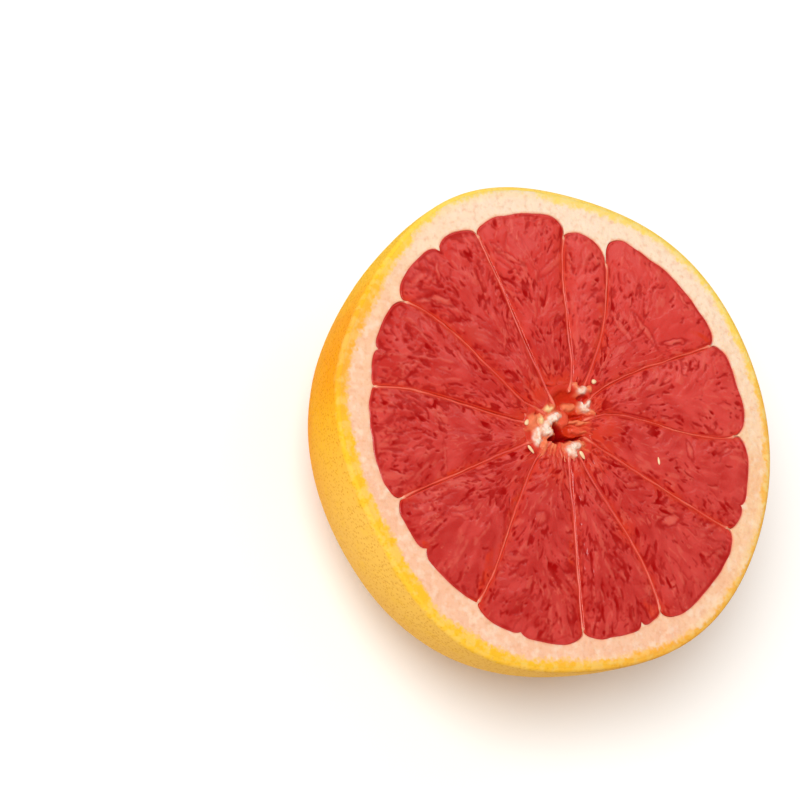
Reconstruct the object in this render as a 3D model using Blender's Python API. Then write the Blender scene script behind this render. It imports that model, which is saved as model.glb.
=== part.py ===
"""Half of a pink grapefruit, cut across and lying on its rounded end with the cut face up.

The fruit grew as one piece, so it is one closed body. One grid is wrapped round it as the
peel and a second one lies on it as the cut face, with rows that run in to the core and
columns that follow the membranes between the segments. Formulas raise the juice sacs
between the membranes and sink the pores of the peel, both larger than life.

Metres, +Z up. The origin is the middle of the flat spot that the fruit lies on.
"""

import bpy
import bmesh
from math import asin, cos, hypot, pi, radians, sin

MM = 0.001

# Peel
CUT_RADIUS = 50.0 * MM
CUT_HEIGHT = 47.0 * MM
CUT_EDGE = 0.5 * MM
FLAT_RADIUS = 10.0 * MM
SWELL = 0.4 * MM
ROUNDNESS = 2.25
PORE_DEPTH = 0.4 * MM
PEEL_ROWS = 18
PEEL_COLUMNS = 96

# The rim isn't quite round: waves per turn, height, and direction of a crest in degrees
RIM_WAVES = ((3, 0.3 * MM, 0.0), (4, 0.25 * MM, 45.0), (5, 0.5 * MM, 28.0), (6, 0.45 * MM, -6.0))
# Brings the middle of the uneven outline over the origin
OUTLINE_SHIFT = (0.1 * MM, -0.4 * MM)

# Small scar in the middle of the flat spot: radius and height of its rings
SCAR_RINGS = ((0.0 * MM, 0.7 * MM), (2.6 * MM, 0.6 * MM), (3.4 * MM, 0.0 * MM))

# Membranes, anticlockwise: direction at the pith, half way in and at the core in degrees,
# then the radius in millimetres where the membrane ends, and that of the lobe after it
MEMBRANES = (
    (-3, -2, 14, 41.0, 44.2),
    (24, 29, 40, 41.5, 43.8),
    (70, 61, 56, 39.5, 41.3),
    (82, 82, 73, 40.0, 44.4),
    (111, 111, 113, 42.0, 44.6),
    (143, 141, 150, 41.5, 43.7),
    (169, 168, 174, 42.5, 43.5),
    (200, 200, 200, 40.7, 42.8),
    (235, 233, 222, 42.3, 44.2),
    (268, 268, 269, 41.2, 43.2),
    (294, 297, 293, 41.5, 44.9),
    (329, 328, 329, 42.2, 44.3),
)
MEMBRANE_HALF = 0.35 * MM
MEMBRANE_RISE = 0.3 * MM

# Pulp
CORE_RADIUS = 10.0 * MM
PULP_RADIUS = 42.0 * MM
PULP_RISE = 0.5 * MM
GROOVE_DEPTH = 0.5 * MM
GROOVE_WIDTH = 0.7 * MM
SAC_HEIGHT = 0.6 * MM
SAC_STEEPNESS = 0.33
PULP_ROWS = 13
SAC_STEP = 3.4

# Core: radius, height over the cut, and how far each ring shares the hollow's place
CORE_RINGS = ((8.2 * MM, 0.7 * MM, 0.1), (5.6 * MM, 0.3 * MM, 0.4), (3.2 * MM, -2.2 * MM, 0.8))
CORE_FLOOR = -4.2 * MM
HOLLOW_PLACE = (-1.0 * MM, -1.6 * MM)

PEEL_COLOUR = (0.93, 0.50, 0.06, 1.0)
PITH_COLOUR = (0.95, 0.72, 0.50, 1.0)
PULP_COLOUR = (0.64, 0.07, 0.05, 1.0)


def polar(radius, angle, height):
    """Point in the part's frame from a radius, a direction and a height."""
    return (
        radius * cos(angle) + OUTLINE_SHIFT[0],
        radius * sin(angle) + OUTLINE_SHIFT[1],
        height,
    )


def wrap_grid(columns, rows, place):
    """A grid closed round the fruit, with each point where place(column, row) puts it.

    Returns the new vertices with their column and row.
    """
    bm = bmesh.new()
    bmesh.ops.create_grid(bm, x_segments=columns, y_segments=rows, size=0.5)
    stations = {}
    for vert in bm.verts:
        column = round((vert.co.x + 0.5) * columns) % columns
        row = round((vert.co.y + 0.5) * rows)
        stations[vert] = (column, row)
    for vert, (column, row) in stations.items():
        vert.co = place(column, row)
    return bm, stations


def rim_radius(angle, share=1.0):
    """Radius of the cut's outline in one direction, with a share of its unevenness."""
    waves = sum(height * cos(count * (angle - radians(crest))) for count, height, crest in RIM_WAVES)
    return CUT_RADIUS + share * waves


def peel_point(angle, way):
    """Radius and height of the peel: way runs from 0 at the flat spot to 1 at the cut."""
    flat_share = (FLAT_RADIUS / CUT_RADIUS) ** ROUNDNESS
    depth = CUT_HEIGHT / (1 - flat_share) ** (1 / ROUNDNESS)
    slope = asin((1 - flat_share) ** 0.5) * (1 - way) ** 1.1
    fall = sin(slope) ** (2 / ROUNDNESS)
    reach = cos(slope) ** (2 / ROUNDNESS)
    radius = rim_radius(angle, way ** 2) * reach + SWELL * sin(pi * fall)
    return radius, CUT_HEIGHT - depth * fall


def is_pore(column, row):
    """Whether a point of the peel is the bottom of a pore."""
    return 1 < row < PEEL_ROWS and (row + column) % 2 == 1


def make_peel():
    """The outside, from the middle of the flat spot up to just under the cut."""
    scar_rows = len(SCAR_RINGS)

    def place(column, row):
        angle = 2 * pi * column / PEEL_COLUMNS
        if row < scar_rows:
            radius, height = SCAR_RINGS[row]
            return polar(radius, angle, height)
        peel_row = row - scar_rows
        radius, height = peel_point(angle, peel_row / PEEL_ROWS)
        if is_pore(column, peel_row):
            radius -= PORE_DEPTH
        if peel_row == PEEL_ROWS:
            height -= CUT_EDGE
        return polar(radius, angle, height)

    bm, stations = wrap_grid(PEEL_COLUMNS, scar_rows + PEEL_ROWS, place)
    ridges = [
        vert for vert, (column, row) in stations.items()
        if 1 < row - scar_rows < PEEL_ROWS and not is_pore(column, row - scar_rows)
    ]
    bmesh.ops.connect_verts(bm, verts=ridges)
    return bm


def membrane_angle(index, radius):
    """Direction of a membrane at a radius: a curve through its three given directions."""
    turn, place = divmod(index, len(MEMBRANES))
    outer, middle, inner = MEMBRANES[place][:3]
    t = min((max(radius, CORE_RADIUS) - CORE_RADIUS) / (PULP_RADIUS - CORE_RADIUS), 1.0)
    angle = inner * (1 - t) * (1 - 2 * t) + middle * 4 * t * (1 - t) + outer * t * (2 * t - 1)
    return radians(angle) + turn * 2 * pi


class Column:
    """One line of points across the cut face, beside a membrane or between two of them."""

    def __init__(self, segment, across, number):
        self.segment = segment
        self.across = across
        self.number = number
        self.is_pulp = 0 <= across <= 1

    def span(self, radius):
        """Directions of the two sides of the segment's pulp, at a radius."""
        radius = max(radius, CORE_RADIUS)
        low = membrane_angle(self.segment, radius) + MEMBRANE_HALF / radius
        high = membrane_angle(self.segment + 1, radius) - MEMBRANE_HALF / radius
        return low, high

    def angle(self, radius):
        """Direction of the column at a radius."""
        low, high = self.span(radius)
        if not self.is_pulp:
            return low if self.across < 0 else high
        inset = min(GROOVE_WIDTH / max(radius, CORE_RADIUS), 0.2 * (high - low))
        return low + inset + (high - low - 2 * inset) * self.across

    def outer_radius(self):
        """Radius where the column's pulp or membrane ends."""
        start = MEMBRANES[self.segment][3] * MM
        end = MEMBRANES[(self.segment + 1) % len(MEMBRANES)][3] * MM
        across = min(max(self.across, 0.0), 1.0)
        notch = start + (end - start) * across
        side = abs(2 * across - 1)
        return notch + (MEMBRANES[self.segment][4] * MM - notch) * (1 - side ** 3)

    def sac_height(self, radius):
        """Height of the juice sacs at a radius: they are lower where the segment narrows."""
        low, high = self.span(radius)
        step = (high - low) * radius / segment_steps(self.segment)
        return min(SAC_HEIGHT, SAC_STEEPNESS * step)


def segment_steps(segment):
    """Number of steps between columns across a segment."""
    width = membrane_angle(segment + 1, PULP_RADIUS) - membrane_angle(segment, PULP_RADIUS)
    return round(width / radians(SAC_STEP)) + 1


def make_columns():
    """For each segment, the side of a membrane, the columns of its pulp and the next side."""
    columns = []
    for segment in range(len(MEMBRANES)):
        steps = segment_steps(segment)
        places = [-1] + [step / steps for step in range(steps + 1)] + [2]
        for across in places:
            columns.append(Column(segment, across, len(columns)))
    return columns


def is_sac(column, row):
    """Whether a point of the pulp is the top of a juice sac."""
    inside = 0 < column.across < 1 and 0 < row < PULP_ROWS
    return inside and (column.number + row) % 2 == 0


def pulp_place(column, row):
    """Point of a column between the pith, at row 0, and the core."""
    outer = column.outer_radius()
    radius = outer + (CORE_RADIUS - outer) * row / PULP_ROWS
    angle = column.angle(radius)
    if not column.is_pulp:
        return polar(radius, angle, CUT_HEIGHT + MEMBRANE_RISE)
    if row in (0, PULP_ROWS) or column.across in (0, 1):
        return polar(radius, angle, CUT_HEIGHT - GROOVE_DEPTH)
    side = abs(2 * column.across - 1)
    sac = column.sac_height(radius)
    rise = PULP_RISE * (1 - side ** 4) + (sac if is_sac(column, row) else -sac)
    return polar(radius, angle, CUT_HEIGHT + rise)


def pith_place(column, row):
    """Point of a column on the flat ring of pith, between the rim at row 0 and the pulp."""
    angle = column.angle(PULP_RADIUS)
    rim = rim_radius(angle) - CUT_EDGE
    edge = column.outer_radius() + CUT_EDGE
    return polar((rim, (rim + edge) / 2, edge)[row], angle, CUT_HEIGHT)


def core_place(column, row):
    """Point of a column in the core, down to the floor of its hollow."""
    if row == len(CORE_RINGS):
        radius, height, share = 0.0, CORE_FLOOR, 1.0
    else:
        radius, height, share = CORE_RINGS[row]
    x, y, z = polar(radius, column.angle(radius), CUT_HEIGHT + height)
    return (x + share * HOLLOW_PLACE[0], y + share * HOLLOW_PLACE[1], z)


def make_cut():
    """The cut face: the ring of pith, the pulp with its membranes, and the core."""
    columns = make_columns()
    pith_rows = 3
    core_start = pith_rows + PULP_ROWS + 1

    def place(index, row):
        column = columns[index]
        if row < pith_rows:
            return pith_place(column, row)
        if row < core_start:
            return pulp_place(column, row - pith_rows)
        return core_place(column, row - core_start)

    bm, stations = wrap_grid(len(columns), core_start + len(CORE_RINGS), place)
    hollows = [
        vert for vert, (index, row) in stations.items()
        if columns[index].is_pulp and pith_rows <= row < core_start
        and not is_sac(columns[index], row - pith_rows)
    ]
    bmesh.ops.connect_verts(bm, verts=hollows)
    return bm


def join(parts):
    """One mesh of several, with their seams and poles merged."""
    bm = bmesh.new()
    for part in parts:
        mesh = bpy.data.meshes.new("grapefruit_part")
        part.to_mesh(mesh)
        part.free()
        bm.from_mesh(mesh)
        bpy.data.meshes.remove(mesh)
    bmesh.ops.remove_doubles(bm, verts=bm.verts, dist=0.01 * MM)
    return bm


def make_half():
    """The closed body: peel and cut face, bridged along the cut's edge."""
    bm = join([make_peel(), make_cut()])
    rims = [edge for edge in bm.edges if edge.is_boundary]
    bmesh.ops.bridge_loops(bm, edges=rims)
    bmesh.ops.triangulate(bm, faces=bm.faces)
    bmesh.ops.recalc_face_normals(bm, faces=bm.faces)
    return bm


def make_material(name, colour, roughness):
    """A surface of one colour, from wet to dull."""
    material = bpy.data.materials.new(name)
    material.use_nodes = True
    shader = material.node_tree.nodes["Principled BSDF"]
    shader.inputs["Base Color"].default_value = colour
    shader.inputs["Roughness"].default_value = roughness
    shader.inputs["Metallic"].default_value = 0.0
    material.diffuse_color = colour
    return material


def paint(mesh):
    """Peel on the outside, a ring of pith round the cut, and pulp inside it."""
    mesh.materials.append(make_material("peel", PEEL_COLOUR, 0.45))
    mesh.materials.append(make_material("pith", PITH_COLOUR, 0.7))
    mesh.materials.append(make_material("pulp", PULP_COLOUR, 0.25))
    for face in mesh.polygons:
        radius = hypot(face.center.x, face.center.y)
        if face.normal.z < 0.2 or face.center.z < CUT_HEIGHT / 2:
            face.material_index = 0
        else:
            face.material_index = 1 if radius > PULP_RADIUS + MM else 2


def main():
    """Clears the scene and adds the half fruit."""
    for obj in list(bpy.data.objects):
        bpy.data.objects.remove(obj, do_unlink=True)
    bm = make_half()
    mesh = bpy.data.meshes.new("grapefruit_half")
    bm.to_mesh(mesh)
    bm.free()
    paint(mesh)
    mesh.shade_smooth()
    mesh.set_sharp_from_angle(angle=radians(40))
    half = bpy.data.objects.new("grapefruit_half", mesh)
    bpy.context.collection.objects.link(half)


main()
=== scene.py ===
"""Looks for half of a pink grapefruit, cut across and lying on its rounded peel.

The one CAD body, grapefruit_half, is shown by finer pieces that keep its form: the peel, the ring
of pith inside it, the membranes, the twelve segments of pulp, the core and a few tiny seeds.
Tables and formulas are in millimetres, in the CAD's own frame. Directions are in degrees,
anticlockwise from +X, seen from above the cut face.
"""

from math import asin, atan2, cos, degrees, pi, radians, sin, tau

import bmesh
import bpy
import numpy as np
from bpy.props import FloatProperty, FloatVectorProperty, IntProperty, PointerProperty
from mathutils import Matrix, Vector
from mathutils.kdtree import KDTree


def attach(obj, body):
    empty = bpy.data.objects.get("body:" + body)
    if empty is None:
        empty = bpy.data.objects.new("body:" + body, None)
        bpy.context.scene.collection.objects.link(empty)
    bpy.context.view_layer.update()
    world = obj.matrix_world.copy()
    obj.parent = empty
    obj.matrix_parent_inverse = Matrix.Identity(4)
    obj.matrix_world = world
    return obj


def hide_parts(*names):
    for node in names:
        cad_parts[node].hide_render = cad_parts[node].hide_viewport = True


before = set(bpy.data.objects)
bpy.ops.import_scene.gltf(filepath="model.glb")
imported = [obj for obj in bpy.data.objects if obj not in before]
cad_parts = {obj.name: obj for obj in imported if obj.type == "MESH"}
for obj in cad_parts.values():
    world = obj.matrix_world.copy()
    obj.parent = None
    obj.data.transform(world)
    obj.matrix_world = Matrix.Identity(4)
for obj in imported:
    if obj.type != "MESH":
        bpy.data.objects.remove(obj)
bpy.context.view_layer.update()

bl_info = {
    "name": "Pink Grapefruit Half",
    "version": (1, 0, 0),
    "blender": (4, 5, 0),
    "location": "3D View > Sidebar > Grapefruit",
    "description": "Builds the peel, pith, membranes, pulp, core and seeds of a halved pink grapefruit",
    "category": "Add Mesh",
}

MM = 0.001
NODE = "grapefruit_half"
BODY = "root"

# Outline of the cut: waves per turn, height, and direction of a crest
RIM_WAVES = ((3, 0.3, 0.0), (4, 0.25, 45.0), (5, 0.5, 28.0), (6, 0.45, -6.0))
# Shift that brings the middle of the uneven outline over the origin
OUTLINE_SHIFT = (0.1, -0.4)
# Curve of the rounded side: extra swell half way up, and its power, where 2 is an ellipse
SWELL = 0.4
ROUNDNESS = 2.25
# Scar in the flat spot, and the ring of low knobs in it: radius, width, height and count
SCAR_RADIUS = 3.4
SCAR_HEIGHT = 0.65
CROWN = (2.2, 0.5, 0.35, 5)

# Membranes, anticlockwise: direction at the pith, half way in and at the core, radius where the
# membrane ends, then of the segment after it: radius of its lobe and radius of its tip
MEMBRANES = (
    (-3, -2, 14, 41.0, 44.2, 7.6),
    (24, 29, 40, 41.5, 43.8, 9.2),
    (70, 61, 56, 37.2, 41.4, 8.6),
    (82, 82, 73, 40.0, 44.4, 8.2),
    (111, 111, 113, 42.0, 44.6, 5.6),
    (143, 141, 150, 41.5, 43.7, 8.6),
    (169, 168, 174, 42.5, 43.5, 9.2),
    (200, 200, 200, 40.7, 42.8, 8.7),
    (235, 233, 222, 42.3, 44.2, 5.8),
    (268, 268, 269, 41.2, 43.2, 6.0),
    (294, 297, 293, 41.5, 44.9, 7.2),
    (329, 328, 329, 42.2, 44.3, 5.6),
)
# Radii where a membrane has its inner and its outer direction
CORE_BEND = 10.0
LOBE_BEND = 42.0
# Usual radius of the lobes, and length of the rounding at their corners
LOBE_RADIUS = 43.0
CORNER_LENGTH = 6.0

# How pale each segment is, in the order of the membranes
SEGMENT_TONES = (0.6, -0.3, 0.6, -0.6, -0.6, -0.2, 0.0, -0.2, 0.0, 0.2, 0.2, 0.5)

# Small dents in the outer ends of the lobes: direction, depth, half width
DENTS = (
    (-23, 1.0, 2.6),
    (-73, 1.7, 2.6),
    (-111, 0.9, 2.4),
    (-145, 1.6, 2.8),
    (159, 1.2, 2.6),
    (124, 1.9, 3.4),
)

# Middle of the patch of deeper orange on the peel's edge, partly its own colour and partly painted shade: x,
# y, z
AMBER_PLACE = (-44, 15, 46)

# Patches of pulp that are smooth and light: direction, radius, half width
CALM_PATCHES = (
    (38, 37, 8.0),
    (57, 39, 4.5),
    (9, 30, 6.0),
    (98, 37, 5.0),
    (89, 33, 4.5),
    (-18, 22, 5.0),
    (-50, 27, 4.0),
    (-45, 38, 4.0),
    (-80, 30, 3.0),
    (-100, 20, 3.0),
    (176, 24, 4.0),
    (153, 25, 4.0),
    (126, 24, 4.5),
)

# Pale sacs seen whole, some of them painted glints: x, y, half length, half width, turn, how pale
PALE_SACS_AND_GLINTS = (
    (16.1, 20.7, 3.4, 0.50, -58, 0.55),
    (18.1, 21.7, 2.8, 0.42, -60, 0.20),
    (21.9, 19.9, 2.8, 0.50, -57, 0.75),
    (28.6, 17.5, 2.0, 0.45, 8, 0.95),
    (5.5, 24.2, 3.2, 0.40, -83, 0.15),
    (37.7, 12.0, 1.3, 0.25, 85, 0.45),
    (32.3, 26.8, 1.3, 0.25, -69, 0.80),
    (-28.2, 25.6, 1.9, 0.45, 11, 0.85),
    (-25.0, 25.5, 2.1, 0.55, -14, 1.00),
    (-29.6, 29.7, 1.9, 0.55, 30, 0.55),
    (-25.2, 31.6, 1.7, 0.35, 88, 0.70),
    (-29.6, 32.5, 1.6, 0.35, -84, 0.35),
    (-10.6, 35.9, 1.6, 0.30, -45, 0.75),
    (-8.1, 34.6, 2.0, 0.30, -25, 0.75),
    (-5.0, 35.8, 3.0, 0.20, -56, 0.45),
    (-3.4, 34.6, 3.2, 0.20, -67, 0.40),
    (1.7, 33.7, 3.4, 0.60, 39, 0.50),
    (-18.0, 18.7, 3.1, 1.80, -27, 0.25),
    (-11.6, 17.5, 2.0, 0.25, 83, 0.45),
    (-21.6, 13.5, 2.1, 0.35, -56, 0.45),
    (-26.2, -16.1, 2.0, 0.50, 2, 0.50),
    (-26.2, -17.7, 1.4, 0.35, -12, 0.45),
    (-8.4, -18.5, 1.3, 0.90, -7, 0.55),
    (-14.4, -26.3, 1.8, 0.50, 1, 0.40),
    (-33.8, -8.7, 2.8, 0.35, 42, 0.45),
    (-28.2, -6.7, 2.5, 0.20, 88, 0.50),
    (-25.9, -8.9, 2.4, 0.22, 40, 0.45),
    (-10.1, -32.5, 1.5, 0.30, -74, 0.60),
    (-0.2, -7.4, 2.0, 0.25, -86, 0.40),
    (21.9, -19.8, 1.9, 0.70, 17, 0.90),
    (28.9, -5.4, 1.4, 0.45, -79, 0.80),
    (38.1, -5.6, 1.3, 0.40, 32, 0.70),
    (13.9, -12.2, 1.5, 0.50, 14, 0.45),
    (17.5, -31.6, 1.1, 0.25, -82, 0.40),
    (16.7, -19.6, 0.9, 0.30, -77, 0.65),
    (-6.1, -6.0, 1.2, 0.35, -122, 0.55),
    (-4.9, -6.6, 1.5, 0.35, -106, 0.55),
    (-3.5, -7.1, 1.6, 0.38, -96, 0.55),
    (-2.0, -6.9, 1.5, 0.32, -84, 0.55),
)

# Orange patches in the pulp: x, y, half length, half width, turn
WARM_PATCHES = (
    (-21.7, -28.5, 4.5, 0.9, 65),
    (-13.8, -15.8, 3.0, 0.9, 61),
    (-2.3, -25.8, 2.3, 0.8, 80),
    (-26.5, -9.2, 1.9, 0.4, 7),
    (-34.4, -22.9, 1.0, 0.6, -62),
    (-25.4, -34.4, 1.5, 0.7, -12),
    (14.5, -37.5, 2.2, 0.8, -56),
    (-11.7, 30.3, 2.3, 0.6, -67),
    (35.9, 18.7, 2.6, 0.7, -24),
    (11.9, 22.4, 2.9, 0.6, -86),
)


# How far the pieces reach down below the cut, and the height where the peel's inner wall ends
BED_DEPTH = 6.0
PEEL_FLOOR = 40.0
# How far the pith runs in under the pulp
HIDDEN_GAP = 0.05
# Dimples of the peel: distance between them, share of its square that each one takes up, and
# the turn from one to the next along their spiral
PIT_STEP = 1.75
PIT_SHARE = 0.87
GOLDEN_TURN = 2.39996


def length_property(name, description, default):
    """A length that a user can change. Its default is given in millimetres."""
    return FloatProperty(
        name=name, description=description, default=default * MM, unit="LENGTH", precision=5
    )


def power_property(name, description, default):
    """The power of a light that a user can change."""
    return FloatProperty(name=name, description=description, default=default, unit="POWER")


def colour_property(name, description, default):
    """A colour that a user can change."""
    return FloatVectorProperty(
        name=name,
        description=description,
        default=default,
        subtype="COLOR",
        size=3,
        min=0.0,
        max=1.0,
    )


class GrapefruitShape(bpy.types.PropertyGroup):
    """Sizes of the half fruit."""

    cut_radius: length_property("Cut radius", "Mean radius of the cut face", 50.0)
    cut_height: length_property("Cut height", "Height of the cut face above the flat spot", 47.0)
    flat_radius: length_property("Flat radius", "Radius of the flat spot that the fruit lies on", 10.0)
    cut_edge: length_property("Cut edge", "Rounding of the peel's edge at the cut", 0.9)
    pulp_rise: length_property("Pulp rise", "How far a segment's middle swells above its sides", 0.4)
    slit_depth: length_property("Slit depth", "Depth of the slits between the juice sacs", 0.13)
    membrane_half: length_property("Membrane half width", "Half a membrane's thickness at the cut", 0.17)
    pit_depth: length_property("Pit depth", "Depth of the dimples in the peel", 0.14)
    draw: IntProperty(
        name="Draw", description="Number that starts every random draw", default=7, min=0
    )


class GrapefruitColours(bpy.types.PropertyGroup):
    """Colours of the half fruit, in linear light."""

    pulp: colour_property("Pulp", "Flesh of the juice sacs", (0.46, 0.021, 0.016))
    pulp_light: colour_property("Light pulp", "Flesh where light comes through", (0.57, 0.055, 0.046))
    pulp_bright: colour_property("Bright pulp", "Flesh on the side nearer the light", (0.63, 0.052, 0.042))
    # Painted shade: the darker pulp colour toward -Y
    pulp_shaded: colour_property("Deep pulp", "Flesh on the riper side", (0.42, 0.020, 0.017))
    pulp_warm: colour_property("Warm pulp", "Flesh beside the membranes", (0.56, 0.031, 0.009))
    slit: colour_property("Slit", "Gaps between the juice sacs", (0.31, 0.0015, 0.0015))
    # Also the colour of the painted glints and painted sheen on a few sacs
    streak: colour_property("Streak", "Skins of the juice sacs", (0.66, 0.13, 0.09))
    membrane: colour_property("Membrane", "Skin between two segments", (0.67, 0.086, 0.060))
    membrane_pale: colour_property("Pale membrane", "Membrane at its ends", (0.74, 0.185, 0.118))
    pith: colour_property("Pith", "Spongy ring under the peel", (0.76, 0.45, 0.25))
    pith_pale: colour_property("Pale pith", "Lightest parts of the pith", (0.78, 0.53, 0.33))
    # Used for random pale patches, and as painted light toward +Y
    pith_fair: colour_property("Fair pith", "Pith on the lighter side", (0.79, 0.65, 0.51))
    pith_rose: colour_property("Rosy pith", "Pith on the lower side", (0.76, 0.43, 0.31))
    pith_pink: colour_property("Pink pith", "Pith next to the pulp", (0.75, 0.36, 0.22))
    pith_speck: colour_property("Pith specks", "Faint specks in the pith", (0.66, 0.30, 0.15))
    pith_white: colour_property("White pith", "Fluffy pith in the core", (0.77, 0.62, 0.52))
    core: colour_property("Core", "Floor of the core", (0.43, 0.009, 0.001))
    core_orange: colour_property("Orange core", "Lighter parts of the core's floor", (0.56, 0.036, 0.004))
    core_pink: colour_property("Pink folds", "Moist folds of skin in the core", (0.66, 0.080, 0.038))
    core_peach: colour_property("Peach folds", "Drier folds of skin in the core", (0.73, 0.19, 0.085))
    core_cream: colour_property("Cream knots", "Yellowish knots in the core", (0.78, 0.53, 0.25))
    hollow: colour_property("Hollow", "Bottom of the hollow", (0.45, 0.003, 0.003))
    rind_pale: colour_property("Pale rind", "Cut rind between its glands", (0.78, 0.60, 0.23))
    flavedo_yellow: colour_property("Yellow rind", "Cut rind, yellow side", (0.80, 0.435, 0.006))
    # Painted light: the paler colour of the rind and skin toward +Y
    flavedo_lemon: colour_property("Lemon rind", "Cut rind and skin on the lighter side", (0.80, 0.56, 0.04))
    flavedo_orange: colour_property("Orange rind", "Cut rind, orange side", (0.78, 0.34, 0.03))
    peel: colour_property("Peel", "Skin of the fruit", (0.81, 0.39, 0.010))
    # Painted sheen: the paler colour of the skin toward -Y
    peel_light: colour_property("Light peel", "Paler side of the skin", (0.83, 0.50, 0.10))
    # Also painted shade in one patch of the peel's edge
    peel_warm: colour_property("Warm peel", "Riper parts of the skin", (0.80, 0.27, 0.002))
    pore: colour_property("Pore", "Oil glands in the skin", (0.52, 0.13, 0.002))
    seed: colour_property("Seed", "Tiny flat seeds", (0.79, 0.54, 0.27))


class GrapefruitStage(bpy.types.PropertyGroup):
    """Floor and lights."""

    world: FloatProperty(name="World", description="Strength of the room light", default=0.47)
    world_tint: colour_property("Room tint", "Colour of the room light", (1.0, 0.80, 0.67))
    key: power_property("Key", "Power of the soft main light", 26.7)
    key_tint: colour_property("Key tint", "Colour of the main light", (0.91, 0.98, 1.0))
    sheen: power_property("Sheen", "Power of the light seen in wet pulp", 1.1)
    sheen_tint: colour_property("Sheen tint", "Colour of the light seen in wet pulp", (1.0, 1.0, 1.0))
    floor: colour_property("Floor", "Plain pale floor", (0.92, 0.92, 0.915))


def mm(length):
    """A length property in millimetres."""
    return length / MM


def cloud(x, y, size, seed):
    """Smooth random field from -1 to 1 whose lumps are about one size across."""
    count = 64
    table = np.random.default_rng(seed).uniform(-1, 1, (count, count))
    # A turn of the grid keeps its rows out of line with the fruit
    across = (0.81 * x + 0.59 * y) / size
    along = (0.81 * y - 0.59 * x) / size
    column = np.floor(across).astype(int)
    row = np.floor(along).astype(int)
    right = across - column
    up = along - row
    right = right * right * (3 - 2 * right)
    up = up * up * (3 - 2 * up)

    def corner(to_right, upwards):
        """Random value at one corner of each place's cell."""
        return table[(row + upwards) % count, (column + to_right) % count]

    low = corner(0, 0) * (1 - right) + corner(1, 0) * right
    high = corner(0, 1) * (1 - right) + corner(1, 1) * right
    return low * (1 - up) + high * up


def ripple(distance, size, seed):
    """Smooth random values from -1 to 1 along a line."""
    return cloud(distance, 0 * distance, size, seed)


def ragged_place(x, y, *shifts):
    """Places moved a little at random, so that an outline laid on them comes out ragged.

    Each shift has its reach, the size of its lumps and the seeds for x and y.
    """
    moved_x, moved_y = x, y
    for reach, size, seed_x, seed_y in shifts:
        moved_x = moved_x + reach * cloud(x, y, size, seed_x)
        moved_y = moved_y + reach * cloud(x, y, size, seed_y)
    return moved_x, moved_y


def smooth_step(low, high, value):
    """Soft rise from 0 at low to 1 at high."""
    share = np.clip((value - low) / (high - low), 0, 1)
    return share * share * (3 - 2 * share)


def oval(x, y, centre_x, centre_y, half_long, half_wide, turn):
    """Squared distance from a turned oval's middle: 1 on its outline."""
    cosine, sine = cos(radians(turn)), sin(radians(turn))
    off_x, off_y = x - centre_x, y - centre_y
    along = off_x * cosine + off_y * sine
    aside = off_y * cosine - off_x * sine
    return (along / half_long) ** 2 + (aside / half_wide) ** 2


def rim_radius(shape, angle, share=1.0):
    """Radius of the cut's outline in one direction, with a share of its unevenness."""
    waves = sum(height * np.cos(count * (angle - radians(crest))) for count, height, crest in RIM_WAVES)
    return mm(shape.cut_radius) + share * waves


def peel_point(shape, angle, way):
    """Radius and height of the peel: way runs from 0 at the flat spot to 1 at the cut."""
    height = mm(shape.cut_height)
    flat_share = (shape.flat_radius / shape.cut_radius) ** ROUNDNESS
    depth = height / (1 - flat_share) ** (1 / ROUNDNESS)
    slope = asin((1 - flat_share) ** 0.5) * (1 - way) ** 1.1
    fall = np.sin(slope) ** (2 / ROUNDNESS)
    reach = np.cos(slope) ** (2 / ROUNDNESS)
    radius = rim_radius(shape, angle, way ** 2) * reach + SWELL * np.sin(pi * fall)
    return radius, height - depth * fall


def membrane_angle(index, radius):
    """Direction of a membrane at a radius: a curve through its three given directions."""
    turn, place = divmod(index, len(MEMBRANES))
    outer, middle, inner = MEMBRANES[place][:3]
    out = np.clip((radius - CORE_BEND) / (LOBE_BEND - CORE_BEND), 0, 1)
    angle = inner * (1 - out) * (1 - 2 * out) + middle * 4 * out * (1 - out) + outer * out * (2 * out - 1)
    return np.radians(angle) + turn * tau


def membrane_end(index):
    """Radius where a membrane ends in the pith."""
    return MEMBRANES[index % len(MEMBRANES)][3]


def membrane_inner(index):
    """Direction of a membrane at the core, in degrees, going up past a full turn."""
    turn, place = divmod(index, len(MEMBRANES))
    return MEMBRANES[place][2] + 360 * turn


def lobe_outline(segment, angle, from_low, from_high):
    """Radius of a segment's outer end, from the distances to its two sides."""
    lobe = MEMBRANES[segment][4]
    corner = np.minimum(CORNER_LENGTH, 0.48 * (from_low + from_high))

    def side(end, distance):
        """Radius beside a membrane that ends at a radius, at a distance from it."""
        share = np.clip(distance / corner, 0, 1)
        return end + (lobe - end) * np.sqrt(np.clip(1 - (1 - share) ** 2, 0, 1))

    radius = np.minimum(side(membrane_end(segment), from_low), side(membrane_end(segment + 1), from_high))
    for direction, depth, half in DENTS:
        off = (angle - radians(direction) + pi) % tau - pi
        bay = np.clip(1 - np.abs(off) * LOBE_RADIUS / half, 0, 1)
        radius = radius - depth * (1 - np.sqrt(1 - bay ** 2))
    inside = smooth_step(0, 3, np.minimum(from_low, from_high))
    return radius + 0.25 * inside * ripple(angle * LOBE_RADIUS, 3.0, 5)


def polar(radius, angle):
    """Place in the cut's plane from a radius and a direction."""
    return radius * np.cos(angle) + OUTLINE_SHIFT[0], radius * np.sin(angle) + OUTLINE_SHIFT[1]


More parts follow.
